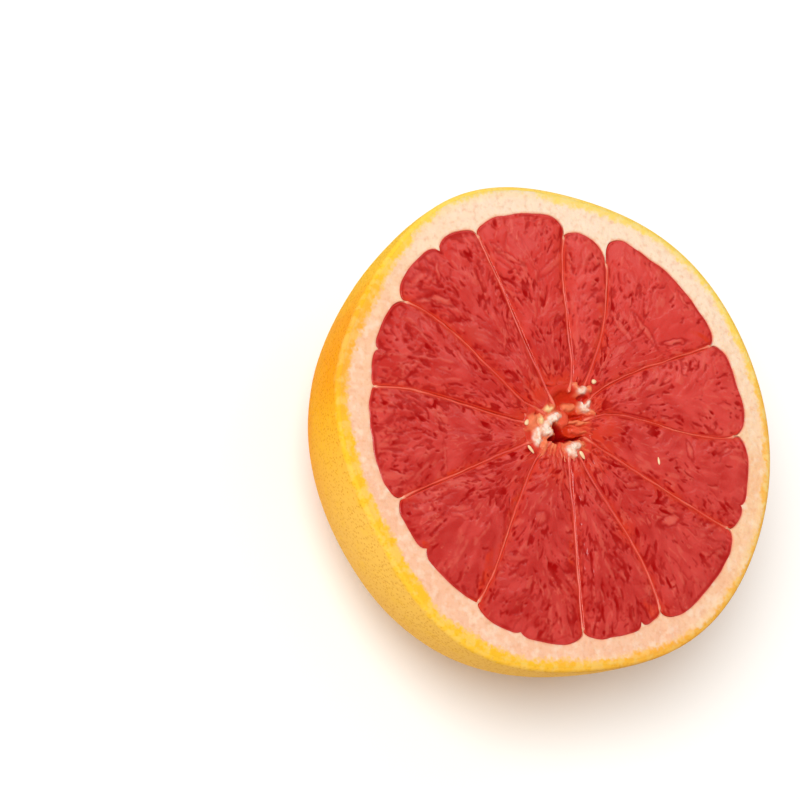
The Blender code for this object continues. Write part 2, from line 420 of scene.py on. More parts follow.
class Signal:
    """A number that varies over a surface. Sums and products of it add Math nodes."""

    def __init__(self, finish, socket):
        self.finish = finish
        self.socket = socket

    def math(self, operation, first, second):
        """Adds one Math node."""
        return self.finish.add("ShaderNodeMath", {"operation": operation}, {0: first, 1: second})

    def __add__(self, other):
        return self.math("ADD", self, other)

    def __sub__(self, other):
        return self.math("SUBTRACT", self, other)

    def __rsub__(self, other):
        return self.math("SUBTRACT", other, self)

    def __mul__(self, other):
        return self.math("MULTIPLY", self, other)

    __radd__ = __add__
    __rmul__ = __mul__


class Finish:
    """A material, built up one node at a time."""

    def __init__(self, name, colour, **sockets):
        self.material = bpy.data.materials.new(name)
        self.material.use_nodes = True
        self.material.diffuse_color = (*colour, 1.0)
        self.tree = self.material.node_tree
        self.shader = self.tree.nodes["Principled BSDF"]
        for key, value in sockets.items():
            self.shader.inputs[key.replace("_", " ")].default_value = value
        self.place = self.add("ShaderNodeTexCoord", output="Object")

    def add(self, kind, settings=None, sockets=None, output=0):
        """Adds a node: its settings first, then the values or links of its sockets."""
        node = self.tree.nodes.new(kind)
        for key, value in (settings or {}).items():
            setattr(node, key, value)
        for key, value in (sockets or {}).items():
            self.feed(node.inputs[key], value)
        return Signal(self, node.outputs[output])

    def feed(self, socket, value):
        """Gives a socket a link or a fixed value."""
        if isinstance(value, Signal):
            self.tree.links.new(value.socket, socket)
        else:
            socket.default_value = value

    def axis(self, name):
        """Place along one axis, in millimetres."""
        return self.add("ShaderNodeSeparateXYZ", None, {0: self.place}, name) * (1 / MM)

    def attribute(self, name):
        """A value stored on the mesh's points."""
        return self.add("ShaderNodeAttribute", {"attribute_name": name}, output="Fac")

    def step(self, low, high, value):
        """Soft rise from 0 at low to 1 at high, or fall where low is above high."""
        sockets = {"Value": value, "From Min": low, "From Max": high}
        return self.add("ShaderNodeMapRange", {"interpolation_type": "SMOOTHSTEP"}, sockets)

    def noise(self, size, detail=2.0):
        """Soft noise from 0 to 1 with lumps of a size in millimetres."""
        sockets = {"Vector": self.place, "Scale": 1 / (size * MM), "Detail": detail}
        return self.add("ShaderNodeTexNoise", None, sockets)

    def cells(self, size, randomness=1.0):
        """Distance to scattered points a size in millimetres apart, as a share of that size."""
        sockets = {"Vector": self.place, "Scale": 1 / (size * MM), "Randomness": randomness}
        return self.add("ShaderNodeTexVoronoi", None, sockets, "Distance")

    def blend(self, share, first, second):
        """A colour between two others."""
        first = first if isinstance(first, Signal) else (*first, 1.0)
        second = second if isinstance(second, Signal) else (*second, 1.0)
        return self.add("ShaderNodeMix", {"data_type": "RGBA"}, {0: share, 6: first, 7: second}, 2)

    def bump(self, height, distance, strength):
        """Fine relief of a depth in millimetres."""
        sockets = {"Height": height, "Distance": distance * MM, "Strength": strength}
        return self.add("ShaderNodeBump", None, sockets)

    def finish(self, **sockets):
        """Feeds the shader and returns the material."""
        for key, value in sockets.items():
            self.feed(self.shader.inputs[key.replace("_", " ")], value)
        return self.material


def lay_grid(name, columns, rows, place):
    """A mesh of a grid of faces, with each point where place puts it.

    place gets each point's column and row, as two square arrays, and returns x, y and z in
    millimetres and the values to store on the points.
    """
    bm = bmesh.new()
    bmesh.ops.create_grid(bm, x_segments=columns, y_segments=rows, size=0.5)
    mesh = bpy.data.meshes.new(name)
    bm.to_mesh(mesh)
    bm.free()
    flat = read_points(mesh)
    column = np.rint((flat[:, 0] + 0.5) * columns).astype(int)
    row = np.rint((flat[:, 1] + 0.5) * rows).astype(int)
    across = np.arange(columns + 1)[None, :].repeat(rows + 1, axis=0)
    along = np.arange(rows + 1)[:, None].repeat(columns + 1, axis=1)
    x, y, z, values = place(across, along)
    write_points(mesh, np.stack([x, y, z], axis=-1)[row, column])
    for key, field in values.items():
        store(mesh, key, field[row, column])
    return mesh


def read_points(mesh):
    """The points of a mesh, one row each."""
    flat = np.empty(len(mesh.vertices) * 3, np.float32)
    mesh.vertices.foreach_get("co", flat)
    return flat.reshape(-1, 3).astype(float)


def write_points(mesh, points):
    """Moves the points of a mesh to places in millimetres."""
    mesh.vertices.foreach_set("co", (points * MM).astype(np.float32).ravel())


def store(mesh, name, values):
    """Keeps a value for each point of a mesh."""
    layer = mesh.attributes.new(name, "FLOAT", "POINT")
    layer.data.foreach_set("value", np.asarray(values, np.float32))


def close_mesh(mesh):
    """Merges seams and poles, closes the open side to one point, and turns the faces outwards."""
    bm = bmesh.new()
    bm.from_mesh(mesh)
    bmesh.ops.remove_doubles(bm, verts=bm.verts, dist=0.0015 * MM)
    open_edges = [edge for edge in bm.edges if edge.is_boundary]
    if open_edges:
        made = bmesh.ops.extrude_edge_only(bm, edges=open_edges)
        verts = [item for item in made["geom"] if isinstance(item, bmesh.types.BMVert)]
        centre = sum((vert.co for vert in verts), Vector()) / len(verts)
        bmesh.ops.pointmerge(bm, verts=verts, merge_co=centre)
    bmesh.ops.recalc_face_normals(bm, faces=bm.faces)
    bm.to_mesh(mesh)
    bm.free()


def add_piece(name, mesh, material):
    """Puts a finished mesh in the scene as a piece of the fruit."""
    mesh.materials.append(material)
    mesh.shade_smooth()
    mesh.set_sharp_from_angle(angle=radians(60))
    piece = bpy.data.objects.new(name, mesh)
    bpy.context.scene.collection.objects.link(piece)
    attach(piece, BODY)
    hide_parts(NODE)


def rounded_edge(radius, depth):
    """Distance in from an edge and drop below the top, for the stations of a rounded edge."""
    turn = np.linspace(0, pi / 2, 5)
    lead = np.concatenate([[0.0], radius * (1 - np.cos(turn))])
    drop = np.concatenate([[depth], radius * (1 - np.sin(turn))])
    return lead, drop


def edge_steps(index, count, lead, drop, width):
    """Distances from the two ends of a line of stations with rounded edges, and their drop.

    index runs from 0 to count. Between the rounded edges the stations are spread evenly.
    """
    last = len(lead) - 1
    inner = lead[last]
    share = np.clip((index - last) / (count - 2 * last), 0, 1)
    from_low = inner + (width - 2 * inner) * share
    low = index < last
    high = index > count - last
    from_low = np.where(low, lead[np.clip(index, 0, last)], from_low)
    from_low = np.where(high, width - lead[np.clip(count - index, 0, last)], from_low)
    fall = np.where(low, drop[np.clip(index, 0, last)], 0.0)
    fall = np.where(high, drop[np.clip(count - index, 0, last)], fall)
    return from_low, fall


def blur(field, times=1):
    """Softens a field over its neighbours."""
    for _ in range(times):
        wide = np.pad(field, 1, mode="edge")
        field = (
            4 * field + wide[:-2, 1:-1] + wide[2:, 1:-1] + wide[1:-1, :-2] + wide[1:-1, 2:]
        ) / 8
    return field


def peel_material(colours):
    """Waxy skin: yellow by the cut, more orange below, with darker pores."""
    finish = Finish("peel_skin", colours.peel, Coat_Roughness=0.35, Coat_IOR=1.2, Specular_IOR_Level=0.0)
    pores = finish.cells(0.66, randomness=0.8)
    large = finish.cells(1.5, randomness=0.8)
    blotch = finish.noise(14.0, 3.0)
    patch = finish.noise(3.0, 3.0)
    height = finish.axis("Z")
    along = finish.axis("Y")
    low = finish.step(44.0, 20.0, height + (blotch - 0.5) * 16)
    warm = finish.blend(low * 0.85, colours.peel, colours.peel_warm)
    # Painted sheen: the skin is painted paler toward -Y
    warm = finish.blend(finish.step(8.0, -22.0, along) * 0.75, warm, colours.peel_light)
    warm = finish.blend(finish.step(0.5, 0.7, patch) * 0.2, warm, colours.flavedo_yellow)
    # Painted light: the skin is painted lemon-pale toward +Y
    skin = finish.blend(finish.step(12.0, 45.0, along) * 0.6, warm, colours.flavedo_lemon)
    # Partly painted shade: one patch of the skin's edge is painted deeper orange
    skin = finish.blend(amber_share(finish) * 0.75, skin, colours.peel_warm)
    pore = finish.step(0.45, 0.10, pores)
    skin = finish.blend(pore * 0.45, skin, colours.pore)
    near_cut = finish.step(45.4, 46.8, height + (patch - 0.5) * 2.5)
    skin = finish.blend(near_cut * 0.7, skin, rind_colour(finish, colours))
    relief = finish.step(0.05, 0.45, pores) + finish.step(0.1, 0.5, large) * 0.6
    normal = finish.bump(relief + patch * 0.3, 0.09, 0.8)
    rough = 0.40 + pore * 0.12
    return finish.finish(Base_Color=skin, Roughness=rough, Normal=normal, Coat_Weight=0.2 - pore * 0.15)


def rind_mask(finish, gap, width):
    """Share of cut rind: full at the rim, with an inner edge made ragged by round glands."""
    wide = finish.noise(7.0, 1.0)
    glands = finish.cells(1.1, randomness=1.0)
    side = finish.axis("X")
    along = finish.axis("Y")
    narrow = finish.step(40.0, 50.0, along - side * 0.3) + finish.step(52.0, 68.0, side - along)
    ragged = gap + narrow * 0.8 + finish.step(-15.0, -40.0, side) * -0.4
    ragged = ragged + (glands - 0.45) * 1.3 - (wide - 0.5) * 3.2 + (finish.noise(0.5, 2.0) - 0.5) * 1.2
    return finish.step(width + 0.7, width - 0.6, ragged)


def amber_share(finish):
    """Share of deeper orange, in one patch of the peel's edge: partly its own colour, partly painted shade.
    """
    sockets = {0: finish.place, 1: [length * MM for length in AMBER_PLACE]}
    away = finish.add("ShaderNodeVectorMath", {"operation": "DISTANCE"}, sockets, "Value") * (1 / MM)
    return finish.step(19.0, 5.0, away + (finish.noise(4.0, 2.0) - 0.5) * 10)


def rind_colour(finish, colours):
    """Cut rind: yellow on the left, lemon on the far side where light is painted in, orange on the right and
    in one patch.
    """
    side = finish.axis("X")
    along = finish.axis("Y")
    warm = finish.step(6.0, 62.0, side - along * 0.7 + (finish.noise(7.0, 2.0) - 0.5) * 50)
    glands = finish.step(0.36, 0.56, finish.noise(1.7, 2.0))
    deep = finish.blend(warm, colours.flavedo_yellow, colours.flavedo_orange)
    # Painted light: the rind is painted lemon-pale toward +Y
    deep = finish.blend(finish.step(12.0, 40.0, along + side * 0.3) * 0.8, deep, colours.flavedo_lemon)
    deep = finish.blend(amber_share(finish) * 0.8, deep, colours.flavedo_orange)
    full = finish.step(55.0, 15.0, along + side * 0.3)
    right = finish.step(15.0, 48.0, side + along * 0.2)
    share = 0.14 + glands * (0.32 + right * 0.14) + full * (0.5 - right * 0.3)
    return finish.blend(share, colours.rind_pale, deep)


def pith_material(colours):
    """Spongy pith with faint specks, and the cut rind round it."""
    finish = Finish(
        "pith_sponge",
        colours.pith,
        Specular_IOR_Level=0.25,
        Subsurface_Weight=0.35,
        Subsurface_Radius=(1.0, 0.6, 0.35),
        Subsurface_Scale=1.2 * MM,
    )
    rim_gap = finish.attribute("rim_gap")
    pulp_gap = finish.attribute("pulp_gap")
    broad = finish.noise(5.0, 3.0)
    fine = finish.noise(0.7, 3.0)
    base = finish.blend(finish.step(0.35, 0.65, broad), colours.pith, colours.pith_pale)
    side = finish.axis("X")
    along = finish.axis("Y")
    rosy = finish.step(25.0, -45.0, along + side * 0.75 + (broad - 0.5) * 40)
    base = finish.blend(rosy * 0.6, base, colours.pith_rose)
    # Painted light: the pith is painted paler toward +Y and a little +X
    base = finish.blend(finish.step(2.0, 46.0, along + side * 0.35) * 0.8, base, colours.pith_fair)
    base = finish.blend(finish.step(0.7, 0.1, pulp_gap) * 0.7, base, colours.pith_pink)
    base = finish.blend(finish.step(0.3, 0.0, pulp_gap) * 0.8, base, colours.membrane_pale)
    specks = finish.step(0.30, 0.12, finish.cells(1.0)) * finish.step(0.42, 0.58, finish.noise(2.5, 2.0))
    base = finish.blend(specks * 0.2, base, colours.pith_speck)
    stain = finish.step(0.52, 0.72, finish.noise(2.2, 3.0)) * finish.step(5.0, 1.5, rim_gap)
    base = finish.blend(stain * 0.35, base, colours.pith_speck)
    base = finish.blend(finish.step(0.45, 0.85, finish.noise(1.2, 3.0)) * 0.6, base, colours.pith_speck)
    base = finish.blend(finish.step(0.45, 0.75, finish.noise(1.7, 2.0)) * 0.5, base, colours.pith_fair)
    base = finish.blend(finish.step(3.2, 1.6, rim_gap) * 0.25, base, colours.rind_pale)
    base = finish.blend(rind_mask(finish, rim_gap, 2.2), base, rind_colour(finish, colours))
    normal = finish.bump(fine + broad * 0.5, 0.12, 0.7)
    return finish.finish(Base_Color=base, Roughness=0.55 + fine * 0.2, Normal=normal)


def membrane_material(colours):
    """Thin moist skin, paler at its two ends."""
    finish = Finish(
        "membrane_skin",
        colours.membrane,
        Coat_Weight=0.25,
        Coat_Roughness=0.25,
        Specular_IOR_Level=0.2,
        Subsurface_Weight=0.4,
        Subsurface_Radius=(1.0, 0.3, 0.2),
        Subsurface_Scale=0.8 * MM,
    )
    pale = finish.attribute("pale")
    uneven = finish.noise(2.2, 3.0)
    share = pale + (uneven - 0.5) * 0.9
    base = finish.blend(finish.step(0.0, 1.0, share), colours.membrane, colours.membrane_pale)
    end = finish.step(0.35, 0.9, finish.attribute("end"))
    faint = finish.step(0.45, 0.65, finish.noise(4.0, 2.0)) * 0.4 * (1 - end)
    base = finish.blend(faint, base, colours.pulp_warm)
    base = finish.blend(finish.step(0.0, -0.8, share) * 0.9, base, colours.pulp_light)
    flank = finish.step(1.05, 0.15, finish.attribute("bead") + end)
    base = finish.blend(flank * 0.8, base, colours.pulp_warm)
    base = finish.blend(end, base, colours.pith_pink)
    normal = finish.bump(finish.noise(0.5, 2.0), 0.05, 0.6)
    return finish.finish(Base_Color=base, Roughness=0.35 + uneven * 0.15, Normal=normal)


def pulp_material(colours):
    """Wet translucent flesh with dark slits and pale streaks between its juice sacs, and painted shade toward
    -Y.
    """
    finish = Finish(
        "pulp_flesh",
        colours.pulp,
        Subsurface_Weight=0.3,
        Subsurface_Radius=(1.0, 0.12, 0.08),
        Subsurface_Scale=1.6 * MM,
        Coat_Roughness=0.15,
        Coat_IOR=1.33,
        Specular_IOR_Level=0.04,
    )
    slit = finish.attribute("slit")
    streak = finish.attribute("streak")
    tone = finish.attribute("tone")
    warmth = finish.attribute("warmth")
    fine = finish.noise(0.45, 3.0)
    broad = finish.noise(6.0, 2.0)
    side = finish.axis("X")
    along = finish.axis("Y")
    light = finish.step(-1.1, 1.5, tone + (broad - 0.5) * 0.7 + (fine - 0.5) * 0.8)
    # Painted shade: the pulp is painted darker toward -Y
    shaded_low = finish.step(22.0, -38.0, along + (broad - 0.5) * 25)
    base = finish.blend(shaded_low * 0.8, colours.pulp, colours.pulp_shaded)
    base = finish.blend(light, base, colours.pulp_light)
    base = finish.blend(shaded_low * 0.25, base, colours.pulp_shaded)
    bright = finish.step(2.0, 40.0, along + side * 0.45 + (broad - 0.5) * 25)
    base = finish.blend(bright * 0.5, base, colours.pulp_bright)
    base = finish.blend(warmth * finish.step(0.2, 0.6, finish.noise(2.5, 2.0)), base, colours.pulp_warm)
    # Pale patches on the sacs of highest tone: partly milky sacs, partly painted sheen
    base = finish.blend(finish.step(1.6, 3.2, tone) * 0.35, base, colours.streak)
    base = finish.blend(streak * 0.6, base, colours.streak)
    base = finish.blend(slit, base, colours.slit)
    normal = finish.bump(fine, 0.05, 0.5)
    rough = 0.30 + fine * 0.15
    return finish.finish(Base_Color=base, Roughness=rough, Normal=normal, Coat_Weight=0.75 - slit * 0.75)


def core_material(colours):
    """Fluffy pith, folds of orange skin and the dark hollow in the middle of the cut."""
    finish = Finish(
        "core_tissue",
        colours.membrane_pale,
        Subsurface_Weight=0.3,
        Subsurface_Radius=(1.0, 0.4, 0.25),
        Subsurface_Scale=0.9 * MM,
        Coat_Roughness=0.2,
        Specular_IOR_Level=0.06,
    )
    fine = finish.noise(0.5, 3.0)
    white = finish.attribute("white")
    cream = finish.attribute("cream")
    peach = finish.attribute("peach")
    pink = finish.attribute("pink")
    deep = finish.attribute("deep")
    base = finish.blend(fine, colours.core, colours.core_orange)
    pulp = finish.blend(fine, colours.pulp, colours.pulp_light)
    base = finish.blend(finish.attribute("edge"), base, finish.blend(0.6, pulp, colours.pulp_warm))
    base = finish.blend(pink * 0.9, base, colours.core_pink)
    base = finish.blend(peach * 0.9, base, colours.core_peach)
    base = finish.blend(cream, base, colours.core_cream)
    dense = finish.step(0.38, 0.58, finish.noise(0.9, 3.0))
    fluff = finish.blend(dense, colours.pith_rose, colours.pith_white)
    base = finish.blend(white, base, fluff)
    base = finish.blend(deep, base, colours.hollow)
    normal = finish.bump(fine, 0.10, 0.35)
    return finish.finish(Base_Color=base, Roughness=0.45, Normal=normal, Coat_Weight=0.2 - white * 0.2)


def seed_material(colours):
    """Smooth cream seed coat."""
    finish = Finish("seed_coat", colours.seed, Coat_Weight=0.4, Coat_Roughness=0.2)
    grain = finish.noise(0.4, 2.0)
    base = finish.blend(grain, colours.seed, colours.pith_pale)
    return finish.finish(Base_Color=base, Roughness=0.35 + grain * 0.1)


def pit_places(shape):
    """Bottoms of the dimples, on a spiral from the flat spot to the cut with a little scatter."""
    table_way = np.linspace(0, 1, 400)
    radius, height = peel_point(shape, 0.0, table_way)
    ring = radius * np.hypot(np.gradient(radius), np.gradient(height))
    area = np.cumsum(ring) / ring.sum()
    count = int(tau * mm(shape.cut_radius) * mm(shape.cut_height) / (PIT_SHARE * PIT_STEP ** 2))
    rng = np.random.default_rng(shape.draw)
    share = (np.arange(count) + 0.5) / count
    way = np.interp(share, area, table_way) + rng.normal(0, 0.003, count)
    angle = np.arange(count) * GOLDEN_TURN + rng.normal(0, 0.006, count)
    radius, height = peel_point(shape, angle, np.clip(way, 0, 1))
    x, y = polar(radius, angle)
    return np.stack([x, y, height], axis=-1)


class GRAPEFRUIT_OT_peel(bpy.types.Operator):
    """Adds the rounded peel with its dimples, its flat spot and the small scar in it"""

    bl_idname = "grapefruit.peel"
    bl_label = "Peel"

    def execute(self, context):
        shape = context.scene.grapefruit_shape
        bm = bmesh.new()
        bmesh.ops.create_icosphere(bm, subdivisions=8, radius=1.0)
        everything = bm.verts[:] + bm.edges[:] + bm.faces[:]
        bmesh.ops.bisect_plane(
            bm, geom=everything, dist=0.0001, plane_co=(0, 0, 0), plane_no=(0, 0, 1), clear_outer=True
        )
        mesh = bpy.data.meshes.new("peel")
        bm.to_mesh(mesh)
        bm.free()
        self.shape_dome(mesh, shape)
        self.round_rim(mesh, shape)
        close_mesh(mesh)
        add_piece("peel", mesh, peel_material(context.scene.grapefruit_colours))
        return {"FINISHED"}

    def shape_dome(self, mesh, shape):
        """Turns the lower half of a ball into the peel's form."""
        ball = read_points(mesh)
        angle = np.arctan2(ball[:, 1], ball[:, 0])
        climb = np.clip(1 + np.arcsin(np.clip(ball[:, 2], -1, 0)) / (pi / 2), 0, 1)
        flat = mm(shape.flat_radius)
        way = np.linspace(0, 1, 2000)
        radius, height = peel_point(shape, 0.0, way)
        run = np.concatenate([[0], np.cumsum(np.hypot(np.diff(radius), np.diff(height)))])
        reach = climb * (flat + run[-1])
        radius, height = peel_point(shape, angle, np.interp(reach - flat, run, way))
        height = np.where(height > 0, height, 0.0)
        on_flat = reach < flat
        radius = np.where(on_flat, reach, radius)
        height = np.where(on_flat, 0.0, height)
        scar = smooth_step(SCAR_RADIUS, SCAR_RADIUS - 0.9, radius)
        ring, width, rise, knobs = CROWN
        crown = rise * np.exp(-((radius - ring) / width) ** 2) * (1 + 0.5 * np.cos(knobs * angle))
        height = height + np.where(on_flat, SCAR_HEIGHT * scar - crown * scar, 0.0)
        # The dome ends lower than the cut by the rounding that round_rim adds
        height = height - mm(shape.cut_edge) * smooth_step(0.985, 1.0, climb)
        x, y = polar(radius, angle)
        points = np.stack([x, y, height], axis=-1)
        points -= self.pits(points, shape)
        write_points(mesh, points)

    def pits(self, points, shape):
        """How far each point sinks in, towards a spot inside the fruit."""
        places = pit_places(shape)
        tree = KDTree(len(places))
        for index, place in enumerate(places):
            tree.insert(place, index)
        tree.balance()
        near = np.array([tree.find(point)[2] for point in points])
        uneven = 0.7 + 0.5 * cloud(points[:, 0], points[:, 1] + points[:, 2], 4.0, shape.draw + 1)
        depth = mm(shape.pit_depth) * uneven * (1 - smooth_step(0.0, 0.85, near))
        soft = 0.25 * cloud(points[:, 0] + points[:, 2], points[:, 1], 9.0, shape.draw + 2)
        fade = smooth_step(1.0, 4.0, points[:, 2]) * smooth_step(46.6, 45.0, points[:, 2])
        middle = np.array([0.0, 0.0, 0.8 * mm(shape.cut_height)])
        outward = points - middle
        outward /= np.linalg.norm(outward, axis=1)[:, None]
        return outward * ((depth + 0.25 * soft) * fade)[:, None]

    def round_rim(self, mesh, shape):
        """Rounds the peel over at the cut and closes it inside."""
        bm = bmesh.new()
        bm.from_mesh(mesh)
        edge = mm(shape.cut_edge)
        top = mm(shape.cut_height)
        # Distance in from the rim and height: the rounding, then the hidden wall inside
        rounding = (0.4, 0.8, 1.2, pi / 2)
        stations = [(edge * (1 - cos(turn)), top - edge + edge * sin(turn)) for turn in rounding]
        stations += [(edge + 0.05, top - 0.35), (edge + 0.4, top - 1.0), (edge + 0.4, PEEL_FLOOR)]
        loop = [item for item in bm.edges if item.is_boundary]
        for lead, height in stations:
            made = bmesh.ops.extrude_edge_only(bm, edges=loop)["geom"]
            loop = [item for item in made if isinstance(item, bmesh.types.BMEdge)]
            for vert in (item for item in made if isinstance(item, bmesh.types.BMVert)):
                angle = atan2(vert.co.y / MM - OUTLINE_SHIFT[1], vert.co.x / MM - OUTLINE_SHIFT[0])
                x, y = polar(rim_radius(shape, angle) - lead, angle)
                vert.co = (x * MM, y * MM, height * MM)
        bm.to_mesh(mesh)
        bm.free()


class GRAPEFRUIT_OT_pith(bpy.types.Operator):
    """Adds the ring of pith and cut rind between the peel and the segments"""

    bl_idname = "grapefruit.pith"
    bl_label = "Pith ring"

    SEGMENT_COLUMNS = 75
    TOP_ROWS = 24

    def execute(self, context):
        shape = context.scene.grapefruit_shape
        columns = self.SEGMENT_COLUMNS * len(MEMBRANES)
        rows = self.TOP_ROWS + 10

        def place(column, row):
            return self.place(shape, column, row)

        mesh = lay_grid("pith_ring", columns, rows, place)
        close_mesh(mesh)
        add_piece("pith_ring", mesh, pith_material(context.scene.grapefruit_colours))
        return {"FINISHED"}

    def inner_edge(self, column):
        """Direction of each column, radius where it meets the pulp, and its turn up to there."""
        segment = (column // self.SEGMENT_COLUMNS) % len(MEMBRANES)
        share = (column % self.SEGMENT_COLUMNS) / self.SEGMENT_COLUMNS
        share = (1 - np.cos(pi * share)) / 2
        angle = np.zeros(column.shape)
        radius = np.zeros(column.shape)
        lean = np.zeros(column.shape)
        for index in range(len(MEMBRANES)):
            low = membrane_angle(index, LOBE_RADIUS)
            high = membrane_angle(index + 1, LOBE_RADIUS)
            width = (high - low) * LOBE_RADIUS
            turned = low + (high - low) * share
            outline = lobe_outline(index, turned, width * share, width * (1 - share))
            low = membrane_angle(index, outline)
            high = membrane_angle(index + 1, outline)
            angle = np.where(segment == index, turned, angle)
            radius = np.where(segment == index, outline, radius)
            lean = np.where(segment == index, low + (high - low) * share - turned, lean)
        return angle, radius - HIDDEN_GAP, lean

    def place(self, shape, column, row):
        """Point of the ring's closed cross-section, which runs in over the top and back below.

        Rows 0 and 1 climb beside the peel, 2 to last cross the top, the next three round the edge
        by the pulp, and the others go down there and back.
        """
        angle, inner, lean = self.inner_edge(column)
        rim = rim_radius(shape, angle) - mm(shape.cut_edge) + 0.03
        top = mm(shape.cut_height)
        lead = np.array([0.0, 0.02, 0.06, 0.12])
        drop = np.array([0.12, 0.05, 0.015, 0.0])
        share = np.clip((row - 2) / self.TOP_ROWS, 0, 1)
        share = np.where(row > self.TOP_ROWS + 8, 0.0, share)
        angle = angle + lean * share ** 2
        radius = rim + (inner + lead[-1] - rim) * share
        x, y = polar(radius, angle)
        sink = 0.07 * cloud(x, y, 2.2, 21) + 0.05 * cloud(x, y, 0.8, 22)
        sink = sink - 0.08 * smooth_step(0.0, 2.5, rim - radius)
        sink = sink * smooth_step(0.0, 0.8, rim - radius)
        height = top + sink
        last = 2 + self.TOP_ROWS
        for step in range(1, len(lead)):
            here = row == last + step
            radius = np.where(here, inner + lead[-1 - step], radius)
            height = np.where(here, top - drop[-1 - step] - 0.06, height)
        below = row > last + 3
        radius = np.where(below, inner, radius)
        height = np.where(row == last + 4, top - 0.9, height)
        height = np.where(row >= last + 5, top - BED_DEPTH + 1.0, height)
        back = (row >= last + 6) | (row <= 1)
        radius = np.where(back, rim, radius)
        height = np.where((row == 0) | (row >= last + 6), top - BED_DEPTH + 1.0, height)
        height = np.where(row == 1, top - 0.5, height)
        x, y = polar(radius, angle)
        rim_gap = rim - radius + mm(shape.cut_edge)
        return x, y, height, {"rim_gap": rim_gap, "pulp_gap": radius - inner}


class GRAPEFRUIT_OT_membranes(bpy.types.Operator):
    """Adds the twelve thin walls between the segments"""

    bl_idname = "grapefruit.membranes"
    bl_label = "Membranes"

    COLUMNS = 12
    ROWS = 220
    FOOT_DEPTH = 5.0

    def execute(self, context):
        shape = context.scene.grapefruit_shape
        material = membrane_material(context.scene.grapefruit_colours)
        for index in range(len(MEMBRANES)):
            place = self.placer(shape, index)
            mesh = lay_grid(f"membrane_{index + 1}", self.COLUMNS, self.ROWS, place)
            close_mesh(mesh)
            add_piece(mesh.name, mesh, material)
        return {"FINISHED"}

    def placer(self, shape, index):
        """Places the points of one membrane: columns go over its top, rows run in to the core."""
        half = mm(shape.membrane_half)
        top = mm(shape.cut_height)
        outer = membrane_end(index) + 0.9
        tip = min(MEMBRANES[index][5], MEMBRANES[index - 1][5]) - 1.2
        # From the side to the middle: share of the half width, distance beyond it, drop, bead
        side = np.array(
            [
                (0.95, 0.30, self.FOOT_DEPTH, 0.0),
                (0.95, 0.30, 0.50, 0.0),
                (0.95, 0.16, 0.24, 0.0),
                (0.95, 0.06, 0.12, 0.0),
                (0.95, 0.00, 0.06, 0.4),
                (0.45, 0.00, 0.012, 0.9),
                (0.00, 0.00, 0.0, 1.0),
            ]
        )
        across, beyond, fall, bead = np.concatenate([side * (-1, -1, 1, 1), side[-2::-1]]).T

        def place(column, row):
            radius = outer + (tip - outer) * (row / self.ROWS)
            flare = np.exp(-((outer - radius) / 1.9) ** 2)
            taper = smooth_step(tip - 0.01, tip + 0.6, radius)
            taper = taper * smooth_step(outer + 0.01, outer - 0.5, radius)
            widen = smooth_step(tip + 4.5, tip + 1.0, radius)
            inward = smooth_step(26.0, 17.0, radius) * (1 - widen)
            uneven = ripple(radius, 2.5, 40 + index)
            wide = half * (0.95 + 0.55 * uneven + 1.4 * flare + 0.9 * widen)
            wiggle = 0.22 * ripple(radius, 5.0, 60 + index) + 0.06 * ripple(radius, 1.4, 80 + index)
            wiggle = wiggle * smooth_step(outer, outer - 3, radius)
            angle = membrane_angle(index, radius)
            off = (across[column] * wide + beyond[column]) * taper + wiggle
            centre_x, centre_y = polar(radius, angle)
            x = centre_x - off * np.sin(angle)
            y = centre_y + off * np.cos(angle)
            dive = 0.4 * smooth_step(outer - 1.5, outer - 0.5, radius)
            height = top + 0.01 + (0.02 + 0.05 * uneven) * bead[column] - dive - fall[column]
            sunk = (row == 0) | (row == self.ROWS)
            height = np.where(sunk, top - self.FOOT_DEPTH, height)
            away = np.exp(-((outer - radius) / 4.0) ** 2)
            patches = 0.45 * smooth_step(-0.2, 0.6, ripple(radius, 4.0, 90 + index))
            pale = np.maximum(np.maximum(0.9 * away, 1.1 * widen), patches) - 0.6 * inward
            return x, y, height, {"pale": pale, "end": flare, "bead": bead[column]}

        return place


